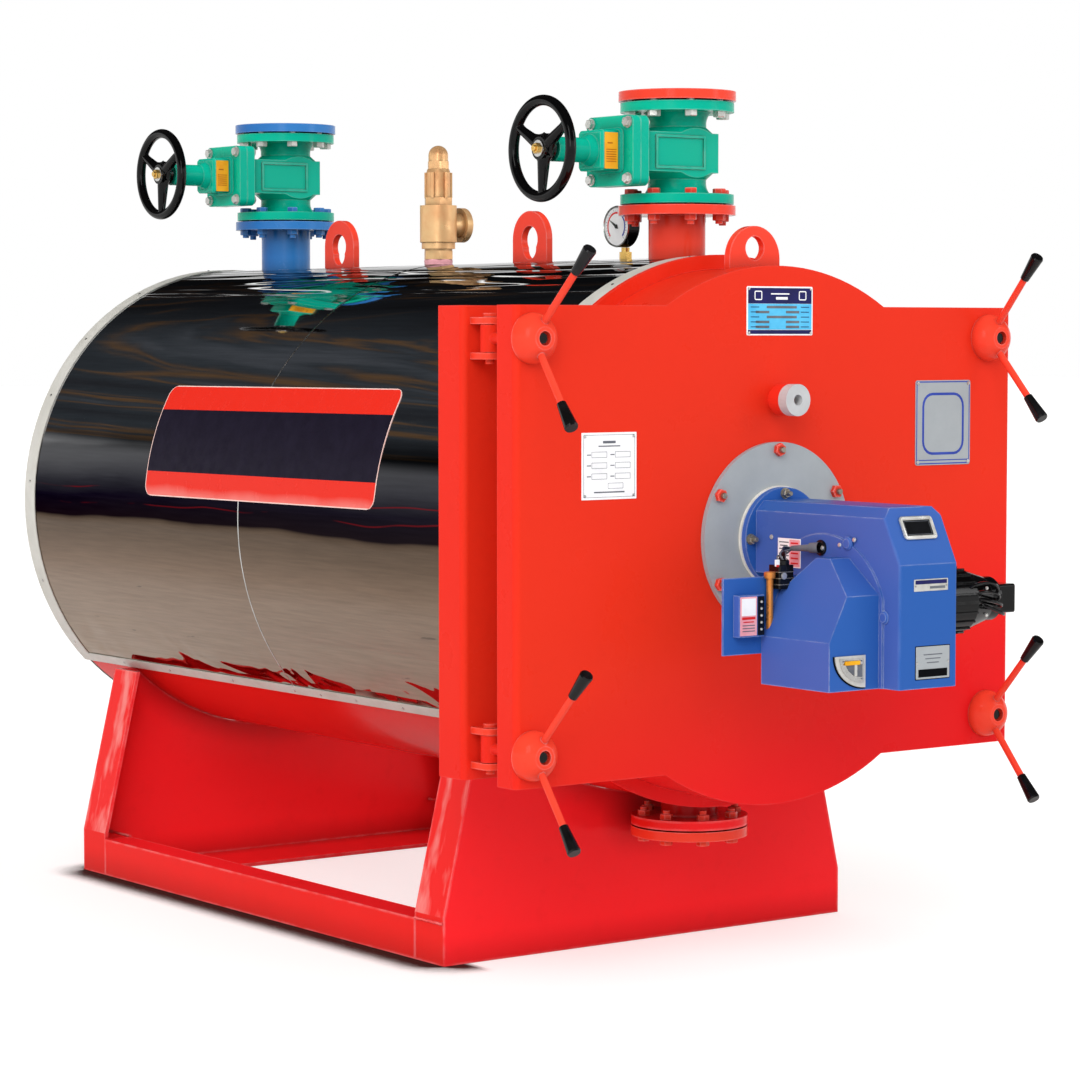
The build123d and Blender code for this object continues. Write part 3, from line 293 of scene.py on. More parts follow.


# Painted reflection on the mirror sheet: its tone, and how much it shines, by the angle above the horizontal
# in degrees
CLAD_REFLECTED_TONES = (
    (-44, (0.37, 0.285, 0.215)), (-30, (0.345, 0.262, 0.20)), (-19, (0.31, 0.228, 0.172)),
    (-13, (0.235, 0.16, 0.112)), (-7, (0.155, 0.105, 0.072)), (-2.6, (0.125, 0.086, 0.06)),
    (-1.9, (0.018, 0.013, 0.016)), (3.2, (0.014, 0.012, 0.019)), (5.5, (0.026, 0.025, 0.032)),
    (8, (0.042, 0.042, 0.050)), (15, (0.046, 0.047, 0.052)), (20, (0.70, 0.70, 0.72)),
    (60, (0.62, 0.62, 0.64)), (66, (0.14, 0.14, 0.145)), (90, (0.035, 0.035, 0.038)))
CLAD_SHINE = ((-4, 1.0), (-2, 0.4), (7, 0.4), (12, 1.0), (64, 1.0), (70, 0.65))
CLAD_LOW, CLAD_HIGH = -50.0, 95.0
# Dark red of the painted reflection of red parts, and where its thin lines run.
RED_REFLECTION = (0.17, 0.012, 0.016, 1)
RED_REFLECTION_LINES = ((1.6, 1.0, 5.0), (5.2, 0.6, 7.7))
FLECK = (0.05, 0.045, 0.045, 1)
PAINTED_GLINT = (0.95, 0.95, 0.96, 1)


def clad_place(deg):
    """Place of an angle on the cladding's ramps."""
    return (deg - CLAD_LOW) / (CLAD_HIGH - CLAD_LOW)


def polished_cladding():
    """Mirror-rolled stainless sheet with its reflections painted in: smoky above, warm below, with painted
    glints on the sharp creases along its top.
    """
    s = Shader("polished_steel")

    def grained(stretch, scale, *rest):
        """Noise drawn out along the barrel."""
        return s.noise(s.coords(stretch), scale, *rest)

    x, _, z = s.split("Object")
    up = s.math("SUBTRACT", z, AXIS_Z * MM)
    angle = s.times(s.math("ARCTAN2", up, s.math("ABSOLUTE", x)), 180 / math.pi)
    wave = s.span(grained((1.0, 0.5, 1.0), 2.6, 3.0), 0.25, 0.75, -1.5, 1.5)
    angle = s.math("ADD", angle, wave)
    along = s.span(angle, CLAD_LOW, CLAD_HIGH)
    # Painted reflection: colour by the angle round the barrel, with a dark band at the horizon and the
    # floor's warm tone below.
    colour = s.ramp(along, [(clad_place(deg), tone) for deg, tone in CLAD_REFLECTED_TONES])
    grain = s.ramp(grained((1.0, 0.045, 1.0), 170.0, 5.0, 0.6), [(0.3, (0.86,) * 3), (0.7, (1.1,) * 3)])
    colour = s.mix(1.0, colour, grain, "MULTIPLY")
    fleck = s.span(grained((1.0, 0.14, 1.0), 60.0, 3.0, 0.5), 0.71, 0.75, 0.0, 0.5)
    colour = s.mix(s.times(fleck, s.span(angle, -4.0, -10.0)), colour, FLECK)
    broken = s.span(grained((1.0, 0.4, 1.0), 9.0, 3.0), 0.44, 0.56)
    # Painted reflection: thin dark red lines of reflected red parts along the barrel.
    for place, swing, scale in RED_REFLECTION_LINES:
        thread = grained((1.0, 0.35, 1.0), scale, 2.0)
        line = s.math("ADD", angle, s.span(thread, 0.3, 0.7, -swing, swing))
        near = s.math("ABSOLUTE", s.math("SUBTRACT", line, place))
        colour = s.mix(s.times(s.span(near, 0.22, 0.05, 0.0, 0.8), broken), colour, RED_REFLECTION)
    crumple = grained((6.5, 0.3, 6.5), 3.4, 1.5, 0.5, 0.35)
    ridge = s.math("ABSOLUTE", s.math("SUBTRACT", crumple, 0.5))
    top = s.span(angle, 60.0, 65.0)
    breaks = s.span(grained((2.4, 1.1, 2.4), 4.0, 2.0), 0.43, 0.5)
    # Painted glint: white along the crumple ridges near the top.
    glint = s.times(s.times(s.span(ridge, 0.014, 0.006), top), breaks)
    colour = s.mix(glint, colour, PAINTED_GLINT)
    # Painted reflection: the mirror's shine is turned down in a band at the horizon.
    shine = s.ramp(along, [(clad_place(deg), (t,) * 3) for deg, t in CLAD_SHINE])
    s.set(Base_Color=colour, Metallic=s.math("SUBTRACT", 1.0, glint), Specular_Tint=shine)
    smooth = s.span(s.noise(s.coords(), 20.0, 4.0), 0.3, 0.8, 0.02, 0.06)
    s.set(Roughness=s.math("ADD", smooth, s.times(glint, 0.55)))
    soft = grained((1.0, 0.3, 1.0), 4.0, 2.0)
    dents = s.times(grained((1.0, 0.6, 1.0), 6.5, 2.0, 0.5, 0.6), s.span(angle, -28.0, -40.0))
    hollows = s.bump(soft, 0.2, 0.01, s.bump(dents, 0.6, 0.03))
    s.set(Normal=s.bump(s.times(s.span(ridge, 0.0, 0.10), top), 0.3, 0.008, hollows))
    return s.mat


def stone():
    """Cast refractory with a coarse, crumbling face."""
    s = Shader("refractory")
    v = s.coords()
    s.set(Base_Color=s.mix(s.noise(v, 12.0, 6.0), rgb(196, 184, 160), rgb(150, 136, 114)), Roughness=0.9)
    s.set(Normal=s.bump(s.noise(v, 90.0, 5.0), 0.5, 0.003))
    return s.mat


# Red of the vinyl and the pale tone of its painted reflection.
VINYL_RED, VINYL_REFLECTION = (0.79, 0.026, 0.013, 1), (0.90, 0.36, 0.32, 1)


def banner_red():
    """Glossy vinyl with a painted reflection of the bright room that pales it towards its lower edge."""
    s = Shader("banner_red")
    v = s.coords()
    _, _, z = s.split("Object")
    height = s.math("ADD", z, s.span(s.noise(v, 6.0, 3.0), 0.3, 0.7, -0.006, 0.006))
    # Painted reflection: paler towards the lower edge.
    painted_shine = s.span(height, (AXIS_Z + 58) * MM, (AXIS_Z + 38) * MM, 0.0, 0.5)
    s.set(Base_Color=s.mix(painted_shine, VINYL_RED, VINYL_REFLECTION), Specular_IOR_Level=0.08)
    s.set(Roughness=s.span(s.noise(v, 40.0, 3.0), 0.3, 0.7, 0.16, 0.3))
    s.set(Normal=s.bump(s.noise(v, 30.0, 2.0), 0.08, 0.0006))
    return s.mat


CAP_START = (DOOR_Y - 40.0) * MM
NECK_RED = (0.80, 0.03, 0.014, 1)


def sight_paint():
    """Grey cap of the sight tube on a neck in the door's red."""
    s = Shader("sight_tube")
    v = s.coords()
    _, y, _ = s.split("Object")
    grey = s.mix(s.noise(v, 30.0, 3.0), rgb(206, 207, 208), rgb(178, 180, 182))
    neck = s.span(y, CAP_START - 0.5 * MM, CAP_START + 0.5 * MM)
    s.set(Base_Color=s.mix(neck, grey, NECK_RED), Specular_IOR_Level=0.2)
    s.set(Roughness=s.span(s.noise(v, 60.0, 3.0), 0.3, 0.7, 0.3, 0.5))
    s.set(Normal=s.bump(s.noise(v, 300.0, 2.0), 0.15, 0.0005))
    return s.mat


RED = enamel("red_enamel", (0.765, 0.031, 0.012, 1), (0.83, 0.026, 0.013, 1), gloss=0.07, edge=0.14,
             fall=(0.36, 0.72, 0.0, 1.0))
RED_BASE = enamel("red_base_enamel", (0.98, 0.020, 0.026, 1), (0.84, 0.016, 0.012, 1), roughness=0.17,
                  gloss=0.08, dirt=0.16, edge=0.6, bend=0.008, shade=0.5, reach=0.06, sheen=0.42)
RED_GLOSS = enamel("red_gloss_enamel", (0.86, 0.060, 0.030, 1), (0.94, 0.052, 0.024, 1), roughness=0.16,
                   gloss=0.14, edge=0.6, shade=0.5)
GREEN = enamel("green_enamel", rgb(0, 176, 148), rgb(2, 198, 162), roughness=0.22, gloss=0.09, dirt=0.3,
               edge=0.5, shade=0.75)
PIPE_BLUE = enamel("blue_enamel", rgb(46, 126, 200), rgb(26, 106, 184), roughness=0.24, gloss=0.3, dirt=0.3,
                   shade=0.5)
BURNER_BLUE = enamel("burner_enamel", rgb(44, 92, 170), rgb(74, 100, 178), roughness=0.34, gloss=0.08,
                     dirt=0.05, peel=1.6, edge=0.85, drift=0.3)
BLACK = enamel("black_enamel", rgb(7, 7, 8), rgb(5, 5, 6), roughness=0.09, gloss=0.24, dirt=0.15, edge=0.1)
TRIM = metal("trim_steel", (214, 212, 206), (198, 196, 188), roughness=0.42, metallic=0.05)
PLATE = metal("grey_plate", (164, 170, 174), (156, 162, 167), roughness=0.5, metallic=0.0, grain=900.0)
SIGHT = sight_paint()
WHITE_SEAL = plastic("white_seal", (236, 232, 222), (212, 206, 194), roughness=0.7)
BLACK_SEAL = plastic("black_seal", (30, 29, 29), (20, 19, 19), roughness=0.7, gloss=0.1)
BRONZE = metal("bronze", (255, 212, 154), (244, 174, 118), roughness=0.36, metallic=0.6, grain=500.0,
               shade=0.65)
BRASS = metal("brass", (236, 196, 112), (196, 150, 72), metallic=0.85)
KNOB = plastic("black_plastic", (12, 12, 13), (26, 26, 28), roughness=0.16, gloss=0.3)
STEEL = metal("bare_steel", (220, 220, 218), (164, 162, 158), roughness=0.22)
ZINC = metal("zinc_plate", (228, 228, 224), (184, 182, 176), roughness=0.3, metallic=0.6)
DULL = metal("dull_steel", (178, 172, 158), (112, 106, 94), roughness=0.3, metallic=0.7)
MILL = metal("mill_scale", (112, 106, 100), (72, 60, 52), roughness=0.55)
STONE = stone()
CLAD = polished_cladding()
BANNER_RED = banner_red()
BANNER_DARK = plastic("banner_dark", (26, 21, 37), (31, 26, 43), grain=60.0, gloss=0.05)
PALE_EDGE = plastic("banner_edge", (250, 214, 206), (244, 190, 180))
ORANGE = plastic("orange_label", (248, 176, 38), (236, 152, 22))
AMBER = plastic("amber_print", (196, 116, 14), (176, 98, 10))
NAVY = plastic("navy_print", (24, 24, 92), (20, 20, 74), roughness=0.35)
CYAN = plastic("cyan_print", (92, 196, 240), (72, 178, 228))
PAPER = plastic("white_print", (250, 250, 252), (238, 239, 242), roughness=0.45)
GREY_PRINT = plastic("grey_print", (112, 116, 124), (88, 92, 102), roughness=0.45)
PINK = plastic("pink_print", (244, 178, 186), (228, 148, 160), roughness=0.45)
DIAL_RED = plastic("dial_red", (226, 40, 40), (206, 28, 32), roughness=0.45)
DIAL_BLUE = plastic("dial_blue", (52, 74, 170), (40, 60, 150), roughness=0.45)
YELLOW = plastic("yellow_pointer", (240, 178, 30), (222, 150, 16))
SCREEN = plastic("dark_screen", (6, 7, 10), (10, 11, 16), roughness=0.2, gloss=0.03)
COPPER_PIPE = metal("copper_pipe", (240, 158, 76), (206, 116, 46), roughness=0.28, metallic=0.6)

BY_SLOT = {
    "red_paint": RED, "green_paint": GREEN, "blue_pipe_paint": PIPE_BLUE, "burner_blue": BURNER_BLUE,
    "black_paint": BLACK, "stainless": CLAD, "grey_trim": TRIM, "grey_plate": PLATE, "seal_white": WHITE_SEAL,
    "seal_black": BLACK_SEAL, "bronze": BRONZE, "brass": BRASS, "black_plastic": KNOB, "bare_steel": STEEL,
    "refractory": STONE, "boiler_steel": MILL, "gauge_case": BLACK,
}
BY_NODE = {
    "sight_tube": SIGHT,
    **dict.fromkeys(("base_beams", "saddle_plates", "boiler_shell", "drain_nozzle"), RED_BASE),
    **dict.fromkeys((
        "supply_nozzle", "supply_counter_flange", "drain_blind_flange", "lifting_lugs", "hinge_lugs",
        "hinge_pins", "clamp_tl", "clamp_tr", "clamp_bl", "clamp_br"), RED_GLOSS),
}

for part in frame["record"]["subparts"]:
    finish = BY_NODE.get(part["node"], BY_SLOT[part["material_slot"]])
    for material_slot in NODES[part["node"]].material_slots:
        material_slot.link = "OBJECT"
        material_slot.material = finish


# Small hardware


def across(axis):
    """Two directions square to an axis."""
    ref = UP if abs(axis.z) < 0.9 else RIGHT
    u = ref.cross(axis).normalized()
    return u, axis.cross(u).normalized()


def circle(centre, u, v, r, n, first=0.0):
    """n points round a centre, the first one at an angle in degrees."""
    out = []
    for i in range(n):
        a = math.radians(first) + 2 * math.pi * i / n
        out.append(centre + (u * math.cos(a) + v * math.sin(a)) * (r * MM))
    return out


def round_corners(half_u, half_v, corner, steps=5):
    """Outline of a rectangle with round corners, centred on nought."""
    out = []
    for i, (su, sv) in enumerate(((1, 1), (-1, 1), (-1, -1), (1, -1))):
        for k in range(steps + 1):
            a = math.radians(90 * (i + k / steps))
            u, v = su * (half_u - corner), sv * (half_v - corner)
            out.append((u + corner * math.cos(a), v + corner * math.sin(a)))
    return out


class Kit:
    """One mesh made of turned pieces, plates and tubes, with sizes in millimetres."""

    def __init__(self):
        self.bm = bmesh.new()
        self.mats = []
        self.index = 0
        self.lie(RIGHT, UP)

    def use(self, mat):
        """Faces made from here on take this material."""
        if mat not in self.mats:
            self.mats.append(mat)
        self.index = self.mats.index(mat)
        return self

    def face(self, verts):
        f = self.bm.faces.new(verts)
        f.material_index = self.index

    def skin(self, loops, closed=True):
        """Faces between loops of points, where a loop of one point is a tip."""
        rows = [[self.bm.verts.new(p) for p in loop] for loop in loops]
        for a, b in zip(rows, rows[1:]):
            n = max(len(a), len(b))
            for i in range(n if closed else n - 1):
                j = (i + 1) % n
                quad = [a[i % len(a)], a[j % len(a)], b[j % len(b)], b[i % len(b)]]
                self.face(list(dict.fromkeys(quad)))
        return rows

    def turned(self, at, axis, profile, n=28, turn=0.0):
        """Body of revolution: profile is (radius, height) pairs along the axis."""
        u, v = across(axis)
        loops = []
        for r, h in profile:
            centre = at + axis * (h * MM)
            loops.append(circle(centre, u, v, r, n, turn) if r else [centre])
        self.skin(loops)

    def hexagon(self, at, axis, r, h, turn=0.0, edge=1.2):
        """Hexagon head or nut with a chamfered face."""
        self.turned(at, axis, [(0, 0), (r, 0), (r, h - edge), (r - edge, h), (0, h)], 6, turn)

    def bolt(self, at, axis, r, h, stud_r=0.0, stud_h=0.0, turn=0.0, tip=0.8):
        """Nut, with its stud end standing proud where it has one."""
        self.hexagon(at, axis, r, h, turn)
        if stud_h:
            stud = [(stud_r, -1), (stud_r, stud_h - tip), (stud_r - tip, stud_h), (0, stud_h)]
            self.turned(at + axis * (h * MM), axis, stud, 12)

    def lie(self, u, v):
        """Plates made from here on lie along u and v and stand proud along u x v."""
        self.u, self.v, self.out = u, v, u.cross(v)
        return self

    def spot(self, at, a, b, height=0.0):
        """Point a along u and b along v from another one."""
        return at + (self.u * a + self.v * b + self.out * height) * MM

    def rims(self, at, half_u, half_v, corner, least, section):
        """Skin over rounded rectangles, one for each (inset, height), with corners of least or more."""
        loops = []
        for inset, height in section:
            outline = round_corners(half_u - inset, half_v - inset, max(corner - inset, least))
            loops.append([self.spot(at, a, b, height) for a, b in outline])
        return self.skin(loops)

    def plate(self, at, half_u, half_v, corner, h, edge=0.3):
        """Flat plate with round corners, h thick. Returns its face's middle."""
        rows = self.rims(at, half_u, half_v, corner, 0.05, ((0, 0), (0, h - edge), (edge, h)))
        self.face(rows[-1])
        self.face(rows[0])
        return self.spot(at, 0, 0, h)

    def bars(self, at, rows):
        """Plain bars that stand where a plate has its words: (u, v, half_u, half_v) each."""
        for a, b, half_u, half_v in rows:
            self.plate(self.spot(at, a, b), half_u, half_v, 0.3, 0.35, 0.1)

    def frame(self, at, half_u, half_v, corner, width, h):
        """Raised rim round a plate or a window."""
        section = ((0, 0), (0, h * 0.6), (width * 0.3, h), (width * 0.7, h), (width, h * 0.5), (width, 0))
        self.rims(at, half_u, half_v, corner, 0.3, section)

    def corner_screws(self, at, half_u, half_v, r, rim, height, top):
        """Domed screw heads in the four corners of a plate."""
        for su in (-1, 1):
            for sv in (-1, 1):
                place = self.spot(at, su * half_u, sv * half_v)
                self.turned(place, self.out, [(r, -0.2), (rim, height), (0, top)], 12)

    def screw(self, at, axis, r=4.2):
        """Round-headed screw."""
        self.turned(at, axis, [(r, -0.3), (r, 1.4), (r - 1.2, 2.8), (0, 3.2)], 16)

    def flush_screw(self, at, axis, r):
        """Countersunk screw that barely stands proud."""
        self.turned(at, axis, [(r, -0.3), (r, 0.3), (r - 0.5, 0.7), (0, 0.7)], 16)

    def tube(self, points, r, n=10):
        """Round bar or bead along a path of points, with pointed ends."""
        loops = []
        last = len(points) - 1
        u = None
        for i, p in enumerate(points):
            axis = (points[min(i + 1, last)] - points[max(i - 1, 0)]).normalized()
            u = across(axis)[0] if u is None else (u - axis * u.dot(axis)).normalized()
            loops.append(circle(p, u, axis.cross(u), r, n))
        self.skin([[points[0]]] + loops + [[points[-1]]])

    def done(self, name, body, slot, sharp=35):
        """Turns the mesh into a piece that rides on a body; slot is not used."""
        bmesh.ops.recalc_face_normals(self.bm, faces=self.bm.faces)
        mesh = bpy.data.meshes.new(name)
        self.bm.to_mesh(mesh)
        self.bm.free()
        for mat in self.mats:
            mesh.materials.append(mat)
        mesh.shade_smooth()
        mesh.set_sharp_from_angle(angle=math.radians(sharp))
        obj = add_object(name, mesh)
        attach(obj, body)


# Banner and seam of the cladding
BANNER_D0, BANNER_D1 = 562.0, 1424.0
BANNER_LOW, BANNER_HIGH = 4.4, 31.2
BANNER_TILT = -0.6
BANNER_CORNER = 24.0
BANNER_RIM = 2.2
BAND_LOW, BAND_HIGH = 0.215, 0.77
BANNER_T = 0.8
SEAM_D = 1050.0
SEAM_SECTION = ((-1.5, 0.02), (-1.2, 0.6), (1.2, 0.6), (1.5, 0.02))


def make_banner():
    """Plain three-band sticker with round corners that follows the barrel."""
    height = math.radians(BANNER_HIGH - BANNER_LOW) * CLAD_R
    width = BANNER_D1 - BANNER_D0

    def inset(h):
        gap = BANNER_CORNER - min(h, height - h, BANNER_CORNER)
        return BANNER_CORNER - math.sqrt(BANNER_CORNER ** 2 - gap ** 2)

    def row(h, radius):
        cut = inset(h)
        near = [cut, cut + BANNER_RIM]
        inner = [near[1] + (width - 2 * near[1]) * k / 30 for k in range(1, 30)]
        pts = []
        for w in near + inner + [width - near[1], width - cut]:
            deg = BANNER_LOW + h / height * (BANNER_HIGH - BANNER_LOW) + BANNER_TILT * w / width
            pts.append(on_barrel(radius, BANNER_D0 + w, deg))
        return pts

    corner_steps = [BANNER_CORNER * (1 - math.cos(math.radians(15 * k))) for k in range(7)]
    heights = [0.0, BANNER_RIM] + [h for h in corner_steps if h > BANNER_RIM]
    middle = [height * (BAND_LOW + (BAND_HIGH - BAND_LOW) * k / 8) for k in range(9)]
    heights = heights + middle + [height - h for h in reversed(heights)]
    kit = Kit()
    rows = [[kit.bm.verts.new(p) for p in row(h, CLAD_R + BANNER_T)] for h in heights]
    for h0, h1, a, b in zip(heights, heights[1:], rows, rows[1:]):
        last = len(a) - 2
        for i in range(last + 1):
            mid = (h0 + h1) / 2 / height
            rim = i in (0, last) or h0 < 1 or height - h1 < 1
            mat = PALE_EDGE if rim else BANNER_DARK if BAND_LOW < mid < BAND_HIGH else BANNER_RED
            kit.use(mat).face([a[i], a[i + 1], b[i + 1], b[i]])
    kit.use(PALE_EDGE)
    foot = [[kit.bm.verts.new(p) for p in row(h, CLAD_R + 0.05)] for h in heights]
    for a, b, fa, fb in zip(rows, rows[1:], foot, foot[1:]):
        for i in (0, -1):
            kit.face([a[i], b[i], fb[i], fa[i]])
    for k in (0, -1):
        for i in range(len(rows[0]) - 1):
            kit.face([rows[k][i], rows[k][i + 1], foot[k][i + 1], foot[k][i]])
    kit.done("banner", "boiler", "stainless", 50)


def make_seam():
    """Lap of the two cladding sheets: a bright edge round the barrel."""
    kit = Kit().use(STEEL)
    loops = []
    for k in range(89):
        deg = -43.8 + 2.54 * k
        lean = -26.0 * math.sin(math.radians(max(0.0, min(180.0, (deg - 20) * 2.2))))
        d = SEAM_D + lean
        loops.append([on_barrel(CLAD_R + proud, d + beside, deg) for beside, proud in SEAM_SECTION])
    kit.skin(loops)
    kit.done("cladding_seam", "boiler", "stainless")


STRIP_RIVETS, STRIP_DEG = (665, 831, 960, 1058, 1299, 1560, 1760), -43.1
RING_RIVETS, RING_D = (-38, -20, 5, 27, 44, 63, 84), (190.0, SHELL_D1 - 22)


def make_rivets():
    """Small blind rivets of the trim strips and rings, on both sides."""
    kit = Kit().use(STEEL)
    places = [(d, STRIP_DEG) for d in STRIP_RIVETS] + [(d, deg) for d in RING_D for deg in RING_RIVETS]
    for d, deg in places:
        for side in (1, -1):
            at = on_barrel(TRIM_R, d, deg)
            at.x *= side
            out = Vector((at.x, 0, at.z - AXIS_Z * MM)).normalized()
            kit.turned(at, out, [(3.2, -0.3), (3.0, 0.9), (1.8, 1.6), (0, 1.9)], 10)
    kit.done("trim_rivets", "boiler", "bare_steel")


# Bolting of the flanged joints, and what the valves carry
PCD_R = 90.0
BOLTS, BOLT_TURN = 8, 22.5
HEAD_R, HEAD_H = 12.4, 10.0
STUD_R = 7.0
FLANGE_T, VALVE_L, VALVE_HALF = 18.0, 193.0, 98.0
SUPPLY = ("supply", 294.0, 1410.0)
RETURN = ("return", 1684.0, 1417.0)
BONNET_NEAR_X, BONNET_FAR_X = -161.0, -124.0
BOSS_HALF, BOSS_L = 37.5, 48.0
HUB_X, RIM_X = -313.0, -318.0
HUB_R, SPOKE_R = 14.0, 86.0
SPOKES = (-90, 30, 150)


def flange_bolts(name, d, flange_z, paint, slot):
    """Painted bolts of the valve's lower joint and plated ones of its upper joint."""
    lower, upper = Kit().use(paint), Kit().use(ZINC)
    stub = [(STUD_R, -1), (STUD_R, 4)]
    for i, at in enumerate(circle(m3(0, d, 0), RIGHT, BACK, PCD_R, BOLTS, BOLT_TURN)):
        turn = 17.0 * i
        foot, top = at + UP * (flange_z * MM), at + UP * ((flange_z + VALVE_L) * MM)
        under, lip = foot - UP * (FLANGE_T * MM), top - UP * (FLANGE_T * MM)
        lower.hexagon(foot + UP * (21 * MM), UP, HEAD_R, HEAD_H, turn)
        lower.bolt(under, -UP, HEAD_R, HEAD_H + 1, STUD_R, 6 + i % 3, turn + 20)
        lower.turned(foot, UP, stub, 12)
        upper.hexagon(lip, -UP, HEAD_R, HEAD_H + 1, turn + 9)
        upper.turned(top, UP, stub, 12)
    lower.done(f"{name}_lower_bolts", "boiler", slot)
    upper.done(f"{name}_upper_bolts", "boiler", "bare_steel")


def bonnet_hardware(name, d, zc):
    """Bonnet bolts, the square casting behind the bonnet and its orange label."""
    kit = Kit().use(ZINC)
    for dd in (-56, 56):
        for dz in (-52, 52):
            near = m3(BONNET_NEAR_X, d + dd, zc + dz)
            kit.turned(near, -RIGHT, [(0, 0), (11, 0), (11, 2), (0, 2)], 20)
            kit.hexagon(near - RIGHT * (2 * MM), -RIGHT, 9.5, 7, 13 + dd + dz)
            kit.hexagon(m3(BONNET_FAR_X, d + dd, zc + dz), RIGHT, 9.5, 8, dz)
    kit.done(f"{name}_bonnet_bolts", "boiler", "bare_steel")
    kit = Kit().lie(-BACK, UP).use(GREEN)
    foot = m3(BONNET_NEAR_X + 0.5, d, zc)
    kit.plate(foot, BOSS_HALF, BOSS_HALF, 7, BOSS_L, 5)
    kit.plate(foot, BOSS_HALF + 5, BOSS_HALF + 5, 12, 6, 4.5)
    kit.done(f"{name}_bonnet_boss", "boiler", "green_paint")
    kit = Kit().use(ORANGE)
    face = kit.plate(m3(-186.5, d - BOSS_HALF, zc - 1), 15.5, BOSS_HALF - 4, 1, 0.5, 0.1)
    print_rows = [(0, -20 + 4.4 * k, 11.5, 0.8) for k in range(6)] + [(-3, 14, 6, 1.4)]
    kit.use(AMBER).bars(face, print_rows)
    kit.done(f"{name}_orange_label", "boiler", "green_paint")


def spoke_web(kit, at, deg, steps=16):
    """Flattened web of a handwheel's spoke, wide at the hub and flared at the rim."""
    a = math.radians(deg)
    out, side = Vector((0, math.cos(a), math.sin(a))), Vector((0, -math.sin(a), math.cos(a)))
    loops = []
    for k in range(steps + 1):
        r = HUB_R + (SPOKE_R - HUB_R) * k / steps
        wide = 7.6 + 19 * math.exp(-(r - HUB_R) / 15) + 8 * math.exp(-(SPOKE_R - r) / 10)
        thick = 7.2 - 2.0 * k / steps
        middle = at + out * (r * MM) + RIGHT * ((HUB_X + (RIM_X - HUB_X) * k / steps) * MM)
        oval = [(wide * math.cos(t), thick * math.sin(t)) for t in (math.pi * i / 8 for i in range(16))]
        loops.append([middle + (side * p + RIGHT * q) * MM for p, q in oval])
    rows = kit.skin(loops)
    kit.face(rows[0])
    kit.face(rows[-1])


def wheel_hardware(name, d, zc):
    """Nut and washer on the stem's end, and the three webs of the spokes."""
    body = f"{name}_wheel"
    kit = Kit().use(STEEL)
    kit.turned(m3(-326, d, zc), -RIGHT, [(16, -0.5), (15.4, 2.0), (11, 2.4), (0, 2.4)], 24)
    kit.use(BRASS).bolt(m3(-328, d, zc), -RIGHT, 10.5, 7, 6.0, 4, 12)
    kit.done(f"{name}_wheel_nut", body, "brass")
    kit = Kit().use(BLACK)
    for deg in SPOKES:
        spoke_web(kit, m3(0, d, zc), deg)
    kit.done(f"{name}_spoke_webs", body, "black_paint")


def make_valve_hardware(name, d, flange_z, paint, slot):
    """All that one gate valve carries, from its lower joint to its handwheel."""
    zc = flange_z + VALVE_HALF
    flange_bolts(name, d, flange_z, paint, slot)
    bonnet_hardware(name, d, zc)
    wheel_hardware(name, d, zc)


def make_drain_bolts():
    """Bolts of the drain's blind flange."""
    kit = Kit().use(RED_GLOSS)
    for i, at in enumerate(circle(m3(0, 252, 0), RIGHT, BACK, PCD_R, BOLTS, BOLT_TURN)):
        kit.hexagon(at + UP * (219 * MM), -UP, HEAD_R, HEAD_H, 13 * i)
        kit.bolt(at + UP * (258 * MM), UP, HEAD_R, HEAD_H, STUD_R, 6 + i % 3, 31 * i)
    kit.done("drain_bolts", "boiler", "red_paint")


def make_tape():
    """Thread tape showing below the safety valve's nut."""
    kit = Kit().use(PINK)
    wraps = [(28.2, 0), (29.6, 0.6), (29.2, 4), (30.0, 7.5), (29.0, 11), (28.2, 11.6)]
    kit.turned(m3(0, 1086.1, 1312.4), UP, wraps, 40)
    kit.done("thread_tape", "boiler", "seal_white")


# Pressure gauge
GAUGE_D, GAUGE_Z, GAUGE_FACE_X, GAUGE_RIM = 452.0, 1375.5, -22.0, 36.0


def make_gauge_face():
    """White dial with two coloured arcs, tick marks and a pointer behind a bright rim."""
    at = m3(GAUGE_FACE_X, GAUGE_D, GAUGE_Z)
    kit = Kit().use(PAPER)
    kit.turned(at, -RIGHT, [(GAUGE_RIM, -0.2), (GAUGE_RIM, 0.5), (0, 0.5)], 48)

    def spot(r, deg, lift):
        """Clock position: 0 is up, running clockwise as seen from the left."""
        a = math.radians(deg)
        return at + Vector((-lift, -r * math.sin(a), r * math.cos(a))) * MM

    def arc(mat, r0, r1, deg0, deg1, steps, lift=0.65):
        kit.use(mat)
        loops = []
        for k in range(steps + 1):
            deg = deg0 + (deg1 - deg0) * k / steps
            loops.append([spot(r0, deg, lift), spot(r1, deg, lift)])
        kit.skin(loops, closed=False)

    arc(DIAL_RED, 24.5, 28.0, -135, 10, 24)
    arc(DIAL_BLUE, 24.5, 28.0, 14, 135, 20)
    for k in range(28):
        deg = -135 + 10 * k
        tick_end = 31.0 if k % 3 else 33.0
        arc(BLACK, 28.5, tick_end, deg - 0.7, deg + 0.7, 1, 0.7)
    kit.use(BLACK)
    kit.turned(at, -RIGHT, [(4.2, 0.5), (4.0, 2.2), (0, 2.6)], 20)
    needle = [spot(r, deg, 1.6) for r, deg in ((27, -58), (3.2, 32), (9, 122), (3.2, -148))]
    kit.face([kit.bm.verts.new(p) for p in needle])
    kit.use(STEEL)
    bezel = [(39.4, -3), (39.6, 0.5), (38.8, 2.6), (37.6, 2.9), (36.6, 1.8), (36.6, 0.4)]
    kit.turned(at, -RIGHT, bezel, 56)
    kit.done("gauge_dial", "boiler", "gauge_case")


# Plates on the door, with plain bars and frames where the real ones have words


